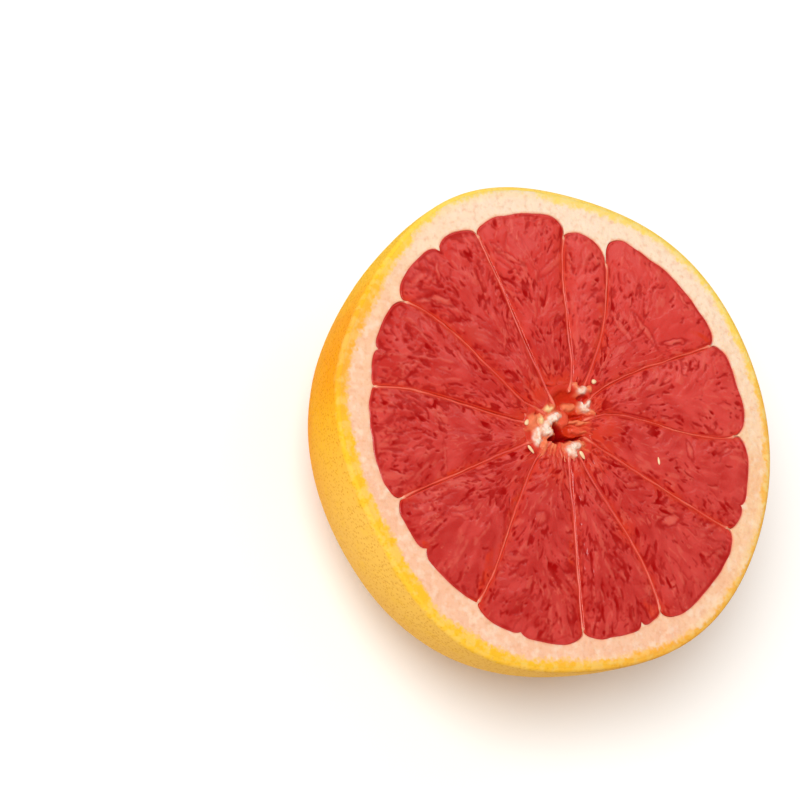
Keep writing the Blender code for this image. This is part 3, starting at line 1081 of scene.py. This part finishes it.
class Sacs:
    """The juice sacs of one segment, cut open: places, directions and sizes."""

    # Number of places tried, and how far apart sacs stand as a share of their half sizes
    TRIES = 5200
    SPACING = 1.75

    def __init__(self, segment, seed):
        self.segment = segment
        self.rng = np.random.default_rng(seed)
        self.table = self.rng.uniform(0, 1, 4096)
        self.scatter()

    def sides(self, radius):
        """Directions of the segment's two membranes at a radius."""
        return membrane_angle(self.segment, radius), membrane_angle(self.segment + 1, radius)

    def flow(self, radius, angle):
        """Direction of the sacs: away from the nearer membrane and inwards, straight in between."""
        low, high = self.sides(radius)
        across = np.clip((angle - low) / (high - low), 0, 1)
        width = (high - low) * radius
        tilt = radians(40) * (1 - 2 * across) * np.clip(width / 13, 0.25, 1)
        tilt = tilt * (1 - 0.6 * smooth_step(36, 42, radius))
        wander = cloud(radius * np.cos(angle), radius * np.sin(angle), 6.0, 150)
        return angle + pi - tilt + 0.55 * wander

    def scatter(self):
        """Draws places one by one and keeps those that stand clear of the ones before."""
        rng = self.rng
        places = np.empty((0, 2))
        kept = []
        for _ in range(self.TRIES):
            radius = 44.5 * np.sqrt(rng.uniform(0.02, 1))
            low, high = self.sides(radius)
            angle = low + (high - low) * rng.uniform(-0.02, 1.02)
            turn = self.flow(radius, angle) + rng.normal(0, 0.22)
            outer = float(smooth_step(34, 40, radius))
            size = rng.uniform(0.75, 1.25)
            room = min(radius / 25, 1)
            long = (2.3 - 0.5 * outer) * size * (0.55 + 0.45 * room)
            wide = (0.72 + 0.50 * outer) * (0.8 + 0.4 * rng.uniform()) * (0.6 + 0.4 * room)
            x, y = radius * cos(angle), radius * sin(angle)
            if len(kept):
                off_x, off_y = x - places[:, 0], y - places[:, 1]
                along = (off_x * cos(turn) + off_y * sin(turn)) / (self.SPACING * long)
                aside = (off_y * cos(turn) - off_x * sin(turn)) / (self.SPACING * wide)
                if (along ** 2 + aside ** 2).min() < 1:
                    continue
            places = np.vstack([places, (x, y)])
            kept.append((x, y, turn, long, wide))
        self.sacs = np.array(kept)
        self.tone = rng.uniform(-1, 1, len(kept))
        # A few sacs get the highest tone, painted as pale patches: partly milky sacs, partly painted sheen
        self.tone[rng.uniform(0, 1, len(kept)) < 0.04] = 4.0
        self.lift = rng.uniform(-1, 1, len(kept))
        self.tilt = rng.normal(0, 1, (len(kept), 2))

    def calm(self, x, y):
        """How smooth the pulp is at a place: 0 to 1."""
        calm = smooth_step(0.35, 0.8, cloud(x, y, 6.5, 100 + self.segment))
        for direction, radius, half in CALM_PATCHES:
            off_x = x - radius * cos(radians(direction))
            off_y = y - radius * sin(radians(direction))
            away = np.hypot(off_x, off_y) + 1.2 * cloud(x, y, 2.5, 260)
            calm = np.maximum(calm, smooth_step(0.95 * half, 0.3 * half, away))
        return calm

    def smear(self, x, y, turn, size, length, seed):
        """Random field drawn out along the sacs, with a spread of 1."""
        steps = np.linspace(-0.5, 0.5, int(length / (0.42 * size)) + 2) * length
        seed = seed + 31 * self.segment
        field = sum(cloud(x + step * np.cos(turn), y + step * np.sin(turn), size, seed) for step in steps)
        return field / field.std()

    def drawn(self, x, y, from_side, from_end):
        """Dark gaps and pale skins between the sacs, both drawn out along them, with painted shade by the
        outer end and some painted glints.
        """
        angle = np.arctan2(y, x)
        angle = angle + tau * np.round((self.middle() - angle) / tau)
        radius = np.hypot(x, y)
        turn = self.flow(radius, angle)
        calm = self.calm(x, y)
        crowd = cloud(x, y, 3.2, 160 + self.segment) + 0.35 * np.exp(-from_side / 1.5)
        crowd = crowd - 0.30 * smooth_step(-5.0, 30.0, 0.8 * x + 0.6 * y)
        dark = self.smear(x, y, turn, 0.62, 2.1, 170)
        depth = 0.75 + 0.35 * cloud(x, y, 1.6, 280)
        dark = depth * smooth_step(1.0, 1.8, dark + 0.8 * crowd + 0.3 * np.exp(-from_side / 1.8) - 1.1 * calm)
        short = self.smear(x, y, turn + 0.8 * cloud(x, y, 2.0, 245), 0.60, 1.0, 240)
        dark = np.maximum(dark, depth * smooth_step(1.05, 1.60, short + 0.8 * crowd - 0.9 * calm))
        dots = smooth_step(0.60, 0.85, cloud(x, y, 0.55, 175) + 0.35 * crowd - 0.5 * calm)
        thread = self.smear(x, y, turn, 0.70, 4.5, 180)
        groups = smooth_step(0.1, 0.6, cloud(x, y, 3.6, 190 + self.segment))
        pale = smooth_step(0.20, 0.03, np.abs(thread - 0.8)) * groups
        stroke = self.smear(x, y, turn, 0.75, 3.2, 270)
        pale = np.maximum(pale, 0.5 * smooth_step(1.0, 1.8, stroke + 0.6 * groups - 0.4 * calm))
        milk = 0.55 * self.smear(x, y, turn, 1.1, 2.4, 200) + 1.05 * cloud(x, y, 3.0, 210 + self.segment)
        milk = milk + SEGMENT_TONES[self.segment]
        rows = ripple(radius, 1.5, 250 + self.segment) + 0.5 * cloud(x, y, 1.2, 255)
        beside = smooth_step(0.85, 0.45, from_side) * smooth_step(0.15, 0.5, rows)
        # Painted shade: a patchy dark band along the segment's outer end, where the pulp meets the pith
        wall = smooth_step(1.0, 0.5, from_end) * smooth_step(-0.5, 0.3, cloud(x, y, 2.6, 230 + self.segment))
        dark = np.maximum.reduce([dark, 0.6 * dots, 0.7 * wall * (1 - 0.6 * calm), 0.8 * beside])
        pale = pale * (1 - dark)
        place = ragged_place(x, y, (0.3, 1.1, 320, 321), (0.12, 0.5, 322, 323))
        # Pale sacs, some of them painted glints, each with a dark outline
        for *sac, share in PALE_SACS_AND_GLINTS:
            away = np.sqrt(oval(*place, *sac))
            border = smooth_step(1.1, 1.4, away) * smooth_step(2.2, 1.6, away)
            dark = np.maximum(dark * smooth_step(0.9, 1.3, away), 0.7 * share * border)
            pale = np.maximum(pale, share * smooth_step(1.2, 0.5, away))
        return blur(dark), blur(pale), milk

    def middle(self):
        """Direction half way between the segment's two membranes."""
        low, high = self.sides(LOBE_RADIUS)
        return (low + high) / 2

    def relief(self, x, y):
        """Height, slit, streak and tone of the cut sacs at places in the cut's plane."""
        shape = x.shape
        x, y = (field.ravel() for field in ragged_place(x, y, (0.22, 1.3, 11, 13), (0.5, 4.0, 12, 14)))
        sac_x, sac_y, turn, long, wide = self.sacs.T
        cosine, sine = np.cos(turn), np.sin(turn)
        off_x = x[:, None] - sac_x
        off_y = y[:, None] - sac_y
        along = off_x * cosine + off_y * sine
        aside = off_y * cosine - off_x * sine
        square = (along / long) ** 2 + (aside / wide) ** 2
        rows = np.arange(len(x))
        first = square.argmin(axis=1)
        near = square[rows, first]
        square[rows, first] = 1e9
        second = square.argmin(axis=1)
        far = square[rows, second]

        def slope(which):
            """How fast the squared distance to a sac grows along x and along y."""
            lengthwise = 2 * along[rows, which] / long[which] ** 2
            crosswise = 2 * aside[rows, which] / wide[which] ** 2
            slope_x = lengthwise * cosine[which] - crosswise * sine[which]
            slope_y = lengthwise * sine[which] + crosswise * cosine[which]
            return slope_x, slope_y

        # Distance from the crease between the nearest sac and the next one
        (first_x, first_y), (second_x, second_y) = slope(first), slope(second)
        crease = (far - near) / (np.hypot(first_x - second_x, first_y - second_y) + 1e-6)
        # Random values that belong to this pair of sacs
        pair = np.minimum(first, second) * 613 + np.maximum(first, second) * 37
        chance = self.table[pair % 4096]
        other = self.table[(pair * 7 + 5) % 4096]
        middle_x = (sac_x[first] + sac_x[second]) / 2
        middle_y = (sac_y[first] + sac_y[second]) / 2
        calm = self.calm(middle_x, middle_y)
        lean_x = cosine[first] + cosine[second]
        lean_y = sine[first] + sine[second]
        size = np.hypot(lean_x, lean_y) + 1e-6
        along_pair = ((x - middle_x) * lean_x + (y - middle_y) * lean_y) / size
        along_pair = along_pair + (other - 0.5) * 0.8
        gap_x, gap_y = sac_x[second] - sac_x[first], sac_y[second] - sac_y[first]
        gap = np.hypot(gap_x, gap_y) + 1e-6
        beside = np.abs(gap_x * lean_y - gap_y * lean_x) / size / gap
        slit_reach = 0.7 + 1.3 * other
        slit_width = 0.20 + 0.28 * self.table[(pair * 3 + 1) % 4096]
        taper = np.clip(1 - (along_pair / slit_reach) ** 2, 0, 1)
        is_slit = (chance < 0.20 * (1 - calm)) * smooth_step(0.45, 0.75, beside)
        slit = is_slit * smooth_step(1.0, 0.35, crease / (slit_width * np.sqrt(taper) + 0.01))
        streak_reach = 1.2 + 1.6 * other
        streak_taper = np.clip(1 - (along_pair / streak_reach) ** 2, 0, 1)
        is_streak = (chance > 0.55) & (chance < 0.55 + 0.15 * (1 - 0.5 * calm))
        is_streak = is_streak * smooth_step(0.5, 0.8, beside)
        streak = is_streak * smooth_step(0.16, 0.05, crease) * smooth_step(0.0, 0.4, streak_taper)
        round_off = 1 - np.exp(-crease / 0.30)
        tilt = 0.10 * self.tilt[first, 0] * (along[rows, first] / long[first])
        tilt = tilt + 0.10 * self.tilt[first, 1] * (aside[rows, first] / wide[first])
        outer = 0.10 + 0.90 * smooth_step(31.0, 38.0, np.hypot(x, y))
        # Painted shade: dark crescents on one side of each outer sac, set by a fixed direction of light
        lit = (0.5 * gap_x - 0.85 * gap_y) / gap
        arc = smooth_step(0.75, 0.35, crease) * smooth_step(0.05, 0.18, crease) * smooth_step(0.0, 0.7, lit)
        slit = np.maximum(slit, 0.55 * arc * outer * (self.lift[first] > 0.1) * (1 - 0.7 * calm))
        outline = smooth_step(0.24, 0.06, crease) * (other < 0.6) * outer * (1 - calm)
        streak = np.maximum(streak, 0.40 * outline)
        creased = smooth_step(0.25, 0.6, other) * (1 - 0.7 * calm)
        height = 0.07 * (round_off - 1) * creased + 0.02 * self.lift[first] + 0.25 * tilt * (1 - 0.8 * calm)
        fields = (height, slit, streak, self.tone[first])
        return [field.reshape(shape) for field in fields]


class GRAPEFRUIT_OT_pulp(bpy.types.Operator):
    """Adds the twelve segments of pulp with their cut juice sacs"""

    bl_idname = "grapefruit.pulp"
    bl_label = "Pulp"

    COLUMN_STEP = 0.20
    ROWS = 200

    def execute(self, context):
        shape = context.scene.grapefruit_shape
        material = pulp_material(context.scene.grapefruit_colours)
        for segment in range(len(MEMBRANES)):
            low = membrane_angle(segment, LOBE_RADIUS)
            high = membrane_angle(segment + 1, LOBE_RADIUS)
            columns = int((high - low) * LOBE_RADIUS / self.COLUMN_STEP) + 10
            place = self.placer(shape, segment, columns)
            mesh = lay_grid(f"pulp_{segment + 1}", columns, self.ROWS, place)
            close_mesh(mesh)
            add_piece(mesh.name, mesh, material)
        return {"FINISHED"}

    def placer(self, shape, segment, columns):
        """Places the points of one segment: rows run in from the pith to the core."""
        half = mm(shape.membrane_half) + 0.02
        top = mm(shape.cut_height)
        tip = MEMBRANES[segment][5]
        side_lead, side_drop = rounded_edge(0.20, BED_DEPTH)
        end_lead, end_drop = rounded_edge(0.25, BED_DEPTH)
        sacs = Sacs(segment, shape.draw + 200 + segment)

        def place(column, row):
            def span(radius):
                """Direction of the segment's first side and its width at a radius."""
                low = membrane_angle(segment, radius) + half / radius
                high = membrane_angle(segment + 1, radius) - half / radius
                return low, (high - low) * radius

            low, width = span(np.full(column.shape, LOBE_RADIUS))
            from_low, _ = edge_steps(column, columns, side_lead, side_drop, width)
            outer = lobe_outline(segment, low + from_low / LOBE_RADIUS, from_low, width - from_low)
            side = np.abs(2 * from_low / width - 1)
            inner = tip + 0.9 * side ** 2.5
            run, end_fall = edge_steps(row, self.ROWS, end_lead, end_drop, outer - inner)
            radius = outer - run
            low, width = span(radius)
            from_low, side_fall = edge_steps(column, columns, side_lead, side_drop, width)
            angle = low + from_low / radius
            from_side = np.minimum(from_low, width - from_low)
            from_end = np.minimum(outer - radius, radius - inner)
            from_edge = np.minimum(from_side, from_end)
            fall = np.minimum(end_fall + side_fall, BED_DEPTH)
            flat_x = radius * np.cos(angle)
            flat_y = radius * np.sin(angle)
            height, slit, streak, tone = sacs.relief(flat_x, flat_y)
            dark, pale, milk = sacs.drawn(flat_x, flat_y, from_side, outer - radius)
            inside = smooth_step(0.10, 0.45, from_edge)
            slit = np.maximum(0.8 * blur(slit), dark) * inside
            streak = np.maximum(0.6 * blur(streak), pale) * inside
            tone = 0.25 * blur(tone, 3) + 0.7 * milk
            sunk = mm(shape.slit_depth) * smooth_step(0.3, 1.2, from_edge) * blur(slit, 2)
            height = blur(height, 2) - sunk + 0.05 * blur(streak)
            side = np.abs(2 * from_low / width - 1)
            swell = mm(shape.pulp_rise) * (1 - side ** 4) * smooth_step(0, 4, from_end)
            broad = 0.12 * cloud(flat_x, flat_y, 5.0, 300)
            z = top - 0.05 + swell + (height + broad) * smooth_step(0.2, 1.3, from_edge) - fall
            near_core = smooth_step(15.0, 9.0, radius)
            reach = 0.6 + 1.1 * smooth_step(0.2, 0.8, cloud(flat_x, flat_y, 6.0, 310))
            warmth = np.maximum(np.exp(-from_side / reach), 0.8 * near_core)
            place_here = ragged_place(flat_x, flat_y, (0.4, 1.2, 330, 331))
            for patch in WARM_PATCHES:
                away = np.sqrt(oval(*place_here, *patch))
                warmth = np.maximum(warmth, smooth_step(1.3, 0.6, away))
            x, y = polar(radius, angle)
            return x, y, z, {"slit": slit, "streak": streak, "tone": tone, "warmth": warmth}

        return place


# Fluffy clumps in the core: x, y, half length, half width, turn, number of tufts, height, colour
CORE_CLUMPS = (
    (-6.7, -2.6, 1.6, 0.8, 80, 18, 0.32, "white"),
    (-6.0, -0.9, 1.2, 0.9, 0, 14, 0.38, "white"),
    (-4.2, -1.1, 1.4, 0.9, 10, 18, 0.28, "white"),
    (-4.3, 0.4, 1.3, 0.8, 20, 14, 0.38, "white"),
    (-2.5, 1.6, 1.6, 0.7, 22, 16, 0.45, "white"),
    (-5.4, 1.1, 0.9, 0.7, 90, 10, 0.45, "cream"),
    (-7.3, 1.3, 0.9, 0.7, 60, 9, 0.30, "peach"),
    (-7.4, 0.2, 0.9, 0.7, -20, 10, 0.25, "peach"),
    (-8.2, 0.6, 0.7, 0.4, 40, 6, 0.20, "peach"),
    (-3.4, 3.4, 0.9, 0.55, 20, 9, 0.35, "cream"),
    (-2.4, 3.9, 0.7, 0.45, 50, 7, 0.25, "peach"),
    (-1.5, 1.9, 0.7, 0.35, 10, 7, 0.30, "white"),
    (0.7, -5.2, 1.3, 1.0, -50, 18, 0.40, "white"),
    (1.9, -4.1, 1.2, 0.6, 5, 12, 0.30, "white"),
    (3.2, -3.8, 0.9, 0.35, -5, 7, 0.15, "peach"),
    (-5.2, -3.7, 0.9, 0.5, 65, 9, 0.10, "peach"),
    (4.9, 7.3, 1.1, 0.6, 15, 12, 0.35, "white"),
    (6.4, 7.7, 0.9, 0.45, 15, 8, 0.20, "peach"),
    (3.8, 8.2, 0.9, 0.45, 100, 7, 0.20, "peach"),
    (5.0, 3.4, 0.9, 0.40, -10, 8, 0.25, "white"),
    (6.3, 2.8, 1.1, 0.35, -25, 7, 0.15, "peach"),
    (4.5, 4.0, 0.7, 0.12, 85, 4, 0.35, "white"),
    (5.9, 4.5, 0.9, 0.13, 30, 5, 0.35, "white"),
)

# Smooth folds in the core: x, y, half length, half width, turn, height, colour
CORE_FOLDS = (
    (1.6, 3.9, 1.3, 0.85, 0, -0.1, "peach"),
    (-0.1, 1.4, 1.5, 1.0, 80, 0.0, "pink"),
    (3.9, 0.7, 2.2, 0.30, -3, 0.0, "peach"),
    (3.0, -1.0, 1.5, 0.55, -12, 0.05, "pink"),
    (3.9, -1.3, 0.9, 0.25, -12, 0.10, "peach"),
    (2.9, -0.2, 1.8, 0.28, -10, -0.1, "pink"),
    (5.6, -0.5, 1.6, 0.25, -10, 0.0, "pink"),
    (6.0, -1.8, 2.0, 0.25, -14, 0.0, "pink"),
    (6.4, 2.2, 2.0, 0.22, -6, 0.0, "pink"),
    (-3.9, 2.6, 1.4, 0.4, 35, 0.0, "pink"),
    (-3.2, -3.7, 0.9, 0.55, 70, -0.1, "peach"),
    (-1.6, -4.2, 0.9, 0.45, 85, -0.1, "pink"),
    (-8.8, -3.4, 1.6, 0.18, 20, 0.0, "peach"),
    (-8.9, -0.6, 1.5, 0.18, -12, 0.0, "peach"),
    (-8.6, 2.3, 1.3, 0.18, -40, 0.0, "peach"),
    (-5.9, 3.4, 1.7, 0.18, -55, 0.0, "peach"),
    (1.1, -7.0, 1.4, 0.18, -88, 0.0, "peach"),
    (4.2, -5.0, 1.6, 0.18, -38, 0.0, "peach"),
    (7.1, 8.3, 1.5, 0.18, 35, 0.0, "peach"),
    (2.9, 9.4, 1.3, 0.18, 110, 0.0, "peach"),
    (7.4, 3.2, 2.0, 0.18, 8, 0.0, "peach"),
)

# Fibres that fan out below the hollow: start, first and last direction, length, count
CORE_FAN = ((-3.9, -2.6), -132, -80, 6.0, 9)

# Hollows in the core: x, y, half length, half width, turn, depth, darkness
CORE_HOLLOWS = (
    (-1.2, -1.5, 2.3, 1.05, -55, 4.5, 1.0),
    (-2.7, -2.8, 1.1, 0.80, 0, 4.5, 1.0),
    (-0.4, -2.6, 1.8, 0.85, 0, 4.5, 1.0),
    (2.3, -2.6, 2.3, 0.42, 3, 2.2, 0.95),
    (1.1, 5.9, 3.2, 1.6, 0, 0.45, 0.25),
    (4.9, 5.8, 1.2, 0.8, 0, 1.1, 0.7),
    (2.9, 1.9, 1.6, 0.55, 0, 0.8, 0.4),
    (-5.9, 2.9, 1.2, 0.25, 30, 0.5, 0.4),
)

CORE_COLOURS = ("white", "cream", "peach", "pink")


class GRAPEFRUIT_OT_core(bpy.types.Operator):
    """Adds the torn middle of the cut: knots of pith, folds of skin and the dark hollow"""

    bl_idname = "grapefruit.core"
    bl_label = "Core"

    COLUMNS = 320
    ROWS = 110
    RADIUS = 11.5

    def execute(self, context):
        shape = context.scene.grapefruit_shape

        def place(column, row):
            return self.place(shape, column, row)

        mesh = lay_grid("core", self.COLUMNS, self.ROWS, place)
        close_mesh(mesh)
        add_piece("core", mesh, core_material(context.scene.grapefruit_colours))
        return {"FINISHED"}

    def lumps(self, seed):
        """Every lump: the folds, tufts scattered over the clumps, and the fan's fibres."""
        rng = np.random.default_rng(seed)
        lumps = list(CORE_FOLDS)
        for x, y, half_long, half_wide, turn, count, high, colour in CORE_CLUMPS:
            lumps.append((x, y, half_long + 0.6, half_wide + 0.5, turn, high - 0.45, "peach"))
            lumps.append((x, y, half_long - 0.1, half_wide - 0.1, turn, high - 0.12, colour))
            for _ in range(2 * count):
                reach, way = rng.uniform(0, 1) ** 0.5, rng.uniform(0, tau)
                along, aside = half_long * reach * cos(way), half_wide * reach * sin(way)
                middle_x = x + along * cos(radians(turn)) - aside * sin(radians(turn))
                middle_y = y + along * sin(radians(turn)) + aside * cos(radians(turn))
                size = rng.uniform(0.20, 0.44) * (1.1 - 0.4 * reach)
                lift = high * (1.0 - 0.8 * reach ** 2) + rng.uniform(-0.12, 0.08)
                faded = "peach" if reach > 0.85 and rng.uniform() < 0.4 else colour
                lumps.append((middle_x, middle_y, size * 1.6, size, rng.uniform(0, 180), lift, faded))
        (x, y), first, last, length, count = CORE_FAN
        for step in range(count):
            turn = first + (last - first) * step / (count - 1) + rng.uniform(-3, 3)
            reach = length * rng.uniform(0.7, 1.0)
            middle_x = x + 0.40 * step + (0.6 + 0.5 * reach) * cos(radians(turn))
            middle_y = y - 0.08 * step + (0.6 + 0.5 * reach) * sin(radians(turn))
            colour = ("peach", "peach", "pink")[step % 3]
            lumps.append((middle_x, middle_y, 0.5 * reach, 0.24, turn, -0.02, colour))
        return lumps

    def beyond_tips(self, x, y):
        """Distance out from the tips of the segments."""
        middles = [
            (membrane_inner(index) + membrane_inner(index + 1)) / 2 for index in range(len(MEMBRANES))
        ]
        angle = np.degrees(np.arctan2(y, x)) % 360
        tips = np.interp(angle, middles, [row[5] for row in MEMBRANES], period=360)
        return np.hypot(x, y) - tips

    def bed(self, x, y):
        """Floor of the core: level with the pulp at the segments' tips and lower in the middle."""
        beyond = self.beyond_tips(x, y)
        return -0.04 - 0.85 * smooth_step(0.3, -3.2, beyond) - 0.6 * smooth_step(0.3, 1.3, beyond)

    def place(self, shape, column, row):
        """Point of the core: rows run in to its middle, after two that go down at its outside."""
        top = mm(shape.cut_height)
        angle = column * tau / self.COLUMNS
        radius = self.RADIUS * (1 - np.clip(row - 2, 0, None) / (self.ROWS - 2))
        x = radius * np.cos(angle)
        y = radius * np.sin(angle)
        ragged = ragged_place(x, y, (0.28, 1.0, 401, 403), (0.10, 0.45, 402, 404))
        bed = self.bed(x, y) + 0.10 * cloud(x, y, 1.0, 405)
        deep = np.zeros(x.shape)
        sink = np.zeros(x.shape)
        for *hollow, depth, dark in CORE_HOLLOWS:
            away = np.sqrt(oval(*ragged, *hollow))
            sink = np.maximum(sink, depth * smooth_step(1.15, 0.4, away))
            deep = np.maximum(deep, dark * smooth_step(1.2, 0.85, away))
        # The lumps melt into each other and the bed where they meet, the less the sharper
        sharp = 5.0
        total = np.exp(sharp * bed)
        weights = {name: np.zeros(x.shape) for name in CORE_COLOURS}
        for *lump, high, colour in self.lumps(shape.draw):
            square = oval(*ragged, *lump)
            crown = high + 0.05 - 0.30 * square - np.clip(square - 1, 0, None) * 0.8
            crown = crown + 0.05 * cloud(x, y, 0.35, 406)
            power = np.exp(sharp * np.clip(crown, -20, None))
            total = total + power
            weights[colour] = weights[colour] + power
        values = {name: blur(smooth_step(0.05, 0.90, field / total), 6) for name, field in weights.items()}
        values["deep"] = deep
        values["edge"] = smooth_step(-1.6, 0.1, self.beyond_tips(x, y)) * smooth_step(0.3, 0.05, sink)
        z = top + blur(np.log(total) / sharp, 2) - sink
        # The seam's two columns and the pole's points fall together
        z[:, -1] = z[:, 0]
        z[-1] = z[-1].mean()
        z = np.where(row == 1, top - 1.4, z)
        z = np.where(row == 0, top - BED_DEPTH, z)
        return x + OUTLINE_SHIFT[0], y + OUTLINE_SHIFT[1], z, values


# Tiny seeds: x, y, half length, half width, turn, height of the middle over the cut
SEEDS = (
    (-9.0, 0.7, 0.65, 0.42, 60, 0.40),
    (-8.8, -4.8, 1.0, 0.30, -55, 0.45),
    (2.9, -6.1, 0.95, 0.38, -62, 0.45),
    (7.8, 9.0, 0.55, 0.48, 0, 0.45),
    (20.9, -7.5, 0.80, 0.24, 92, 0.50),
)
SEED_FLATNESS = 0.8


class GRAPEFRUIT_OT_seeds(bpy.types.Operator):
    """Adds the few tiny seeds that lie in the cut"""

    bl_idname = "grapefruit.seeds"
    bl_label = "Seeds"

    def execute(self, context):
        top = mm(context.scene.grapefruit_shape.cut_height)
        material = seed_material(context.scene.grapefruit_colours)
        for index, (x, y, half_long, half_wide, turn, lift) in enumerate(SEEDS):
            bm = bmesh.new()
            bmesh.ops.create_icosphere(bm, subdivisions=4, radius=1.0)
            for vert in bm.verts:
                point = vert.co
                taper = 1 - 0.25 * point.x
                groove = 1 - 0.12 * max(0.0, 1 - abs(point.y) / 0.25) * (point.z > 0)
                point.y *= taper
                point.z *= taper * groove
            turned = Matrix.Rotation(radians(turn), 4, "Z")
            scaled = Matrix.Diagonal((half_long * MM, half_wide * MM, SEED_FLATNESS * half_wide * MM, 1))
            place = Vector((x + OUTLINE_SHIFT[0], y + OUTLINE_SHIFT[1], top + lift)) * MM
            bmesh.ops.transform(bm, matrix=Matrix.Translation(place) @ turned @ scaled, verts=bm.verts)
            mesh = bpy.data.meshes.new(f"seed_{index + 1}")
            bm.to_mesh(mesh)
            bm.free()
            add_piece(mesh.name, mesh, material)
        return {"FINISHED"}


# Camera: the point of the cut plane that it looks at, its distance, and its look direction
AIM = (-36.4, 4.9)
DISTANCE = 450.5
LOOK_TURN = 23.7
LOOK_DOWN = 59.9
LENS = 105.0

# Lights, in metres: name, size, direction from the fruit, and distance from the point they face
LIGHTS = (
    ("key", 0.8, (-0.50, 0.07, 0.85), 1.6),
    ("sheen", 0.5, (0.42, 0.44, 0.79), 1.2),
)
LIT_POINT = (0.0, 0.0, 0.04)
FLOOR_SIZE = 12.0


class GRAPEFRUIT_OT_stage(bpy.types.Operator):
    """Adds the floor, the lights and the camera"""

    bl_idname = "grapefruit.stage"
    bl_label = "Stage"

    def execute(self, context):
        scene = context.scene
        settings = scene.grapefruit_stage
        self.add_floor(settings)
        self.add_world(scene, settings)
        for light in LIGHTS:
            self.add_light(settings, *light)
        self.add_camera(scene)
        scene.view_settings.view_transform = "Standard"
        return {"FINISHED"}

    def add_floor(self, settings):
        """Adds the plain floor that the fruit lies on."""
        bm = bmesh.new()
        bmesh.ops.create_grid(bm, x_segments=8, y_segments=8, size=FLOOR_SIZE)
        mesh = bpy.data.meshes.new("floor")
        bm.to_mesh(mesh)
        bm.free()
        finish = Finish("floor_board", settings.floor, Specular_IOR_Level=0.0)
        mesh.materials.append(finish.finish(Base_Color=(*settings.floor, 1.0), Roughness=0.9))
        floor = bpy.data.objects.new("floor", mesh)
        bpy.context.scene.collection.objects.link(floor)

    def add_world(self, scene, settings):
        """Lights the room evenly from all sides."""
        world = bpy.data.worlds.new("white_room")
        world.use_nodes = True
        background = world.node_tree.nodes["Background"]
        background.inputs["Color"].default_value = (*settings.world_tint, 1.0)
        background.inputs["Strength"].default_value = settings.world
        scene.world = world

    def add_light(self, settings, name, size, direction, distance):
        """Adds one soft round light that faces the fruit."""
        light = bpy.data.lights.new(name, "AREA")
        light.shape = "DISK"
        light.size = size
        light.energy = getattr(settings, name)
        light.color = getattr(settings, f"{name}_tint")
        lamp = bpy.data.objects.new(name, light)
        away = Vector(direction).normalized()
        lamp.location = Vector(LIT_POINT) + away * distance
        lamp.rotation_euler = away.to_track_quat("Z", "Y").to_euler()
        bpy.context.scene.collection.objects.link(lamp)

    def add_camera(self, scene):
        """Adds the camera and makes it the scene's own."""
        camera = bpy.data.objects.new("camera", bpy.data.cameras.new("camera"))
        camera.data.lens = LENS
        turn, down = radians(LOOK_TURN), radians(LOOK_DOWN)
        forward = Vector((cos(turn) * cos(down), sin(turn) * cos(down), -sin(down)))
        up = Vector((1, 0, 0)).cross(forward).normalized()
        right = forward.cross(up)
        aim = Vector((*AIM, mm(scene.grapefruit_shape.cut_height)))
        place = (aim - DISTANCE * forward) * MM
        turned = Matrix((right, up, -forward)).transposed().to_4x4()
        camera.matrix_world = Matrix.Translation(place) @ turned
        scene.collection.objects.link(camera)
        scene.camera = camera


GROUPS = {
    "grapefruit_shape": GrapefruitShape,
    "grapefruit_colours": GrapefruitColours,
    "grapefruit_stage": GrapefruitStage,
}
PIECES = (
    GRAPEFRUIT_OT_peel,
    GRAPEFRUIT_OT_pith,
    GRAPEFRUIT_OT_membranes,
    GRAPEFRUIT_OT_pulp,
    GRAPEFRUIT_OT_core,
    GRAPEFRUIT_OT_seeds,
    GRAPEFRUIT_OT_stage,
)


class GRAPEFRUIT_PT_panel(bpy.types.Panel):
    """Lists the pieces of the half fruit"""

    bl_idname = "GRAPEFRUIT_PT_panel"
    bl_label = "Pink Grapefruit Half"
    bl_space_type = "VIEW_3D"
    bl_region_type = "UI"
    bl_category = "Grapefruit"

    def draw(self, context):
        """Shows every setting, then a button for each piece."""
        for group in GROUPS:
            settings = getattr(context.scene, group)
            box = self.layout.box()
            for name in settings.__annotations__:
                box.prop(settings, name)
        for operator in PIECES:
            self.layout.operator(operator.bl_idname)


CLASSES = (*GROUPS.values(), *PIECES, GRAPEFRUIT_PT_panel)


def register():
    """Makes the settings, the pieces and the panel known to Blender."""
    for item in CLASSES:
        bpy.utils.register_class(item)
    for name, group in GROUPS.items():
        setattr(bpy.types.Scene, name, PointerProperty(type=group))


def unregister():
    """Takes them out again, the last one first."""
    for name in GROUPS:
        delattr(bpy.types.Scene, name)
    for item in reversed(CLASSES):
        bpy.utils.unregister_class(item)


def main():
    """Builds every piece."""
    register()
    for piece in PIECES:
        module, action = piece.bl_idname.split(".")
        getattr(getattr(bpy.ops, module), action)()


if __name__ == "__main__":
    main()
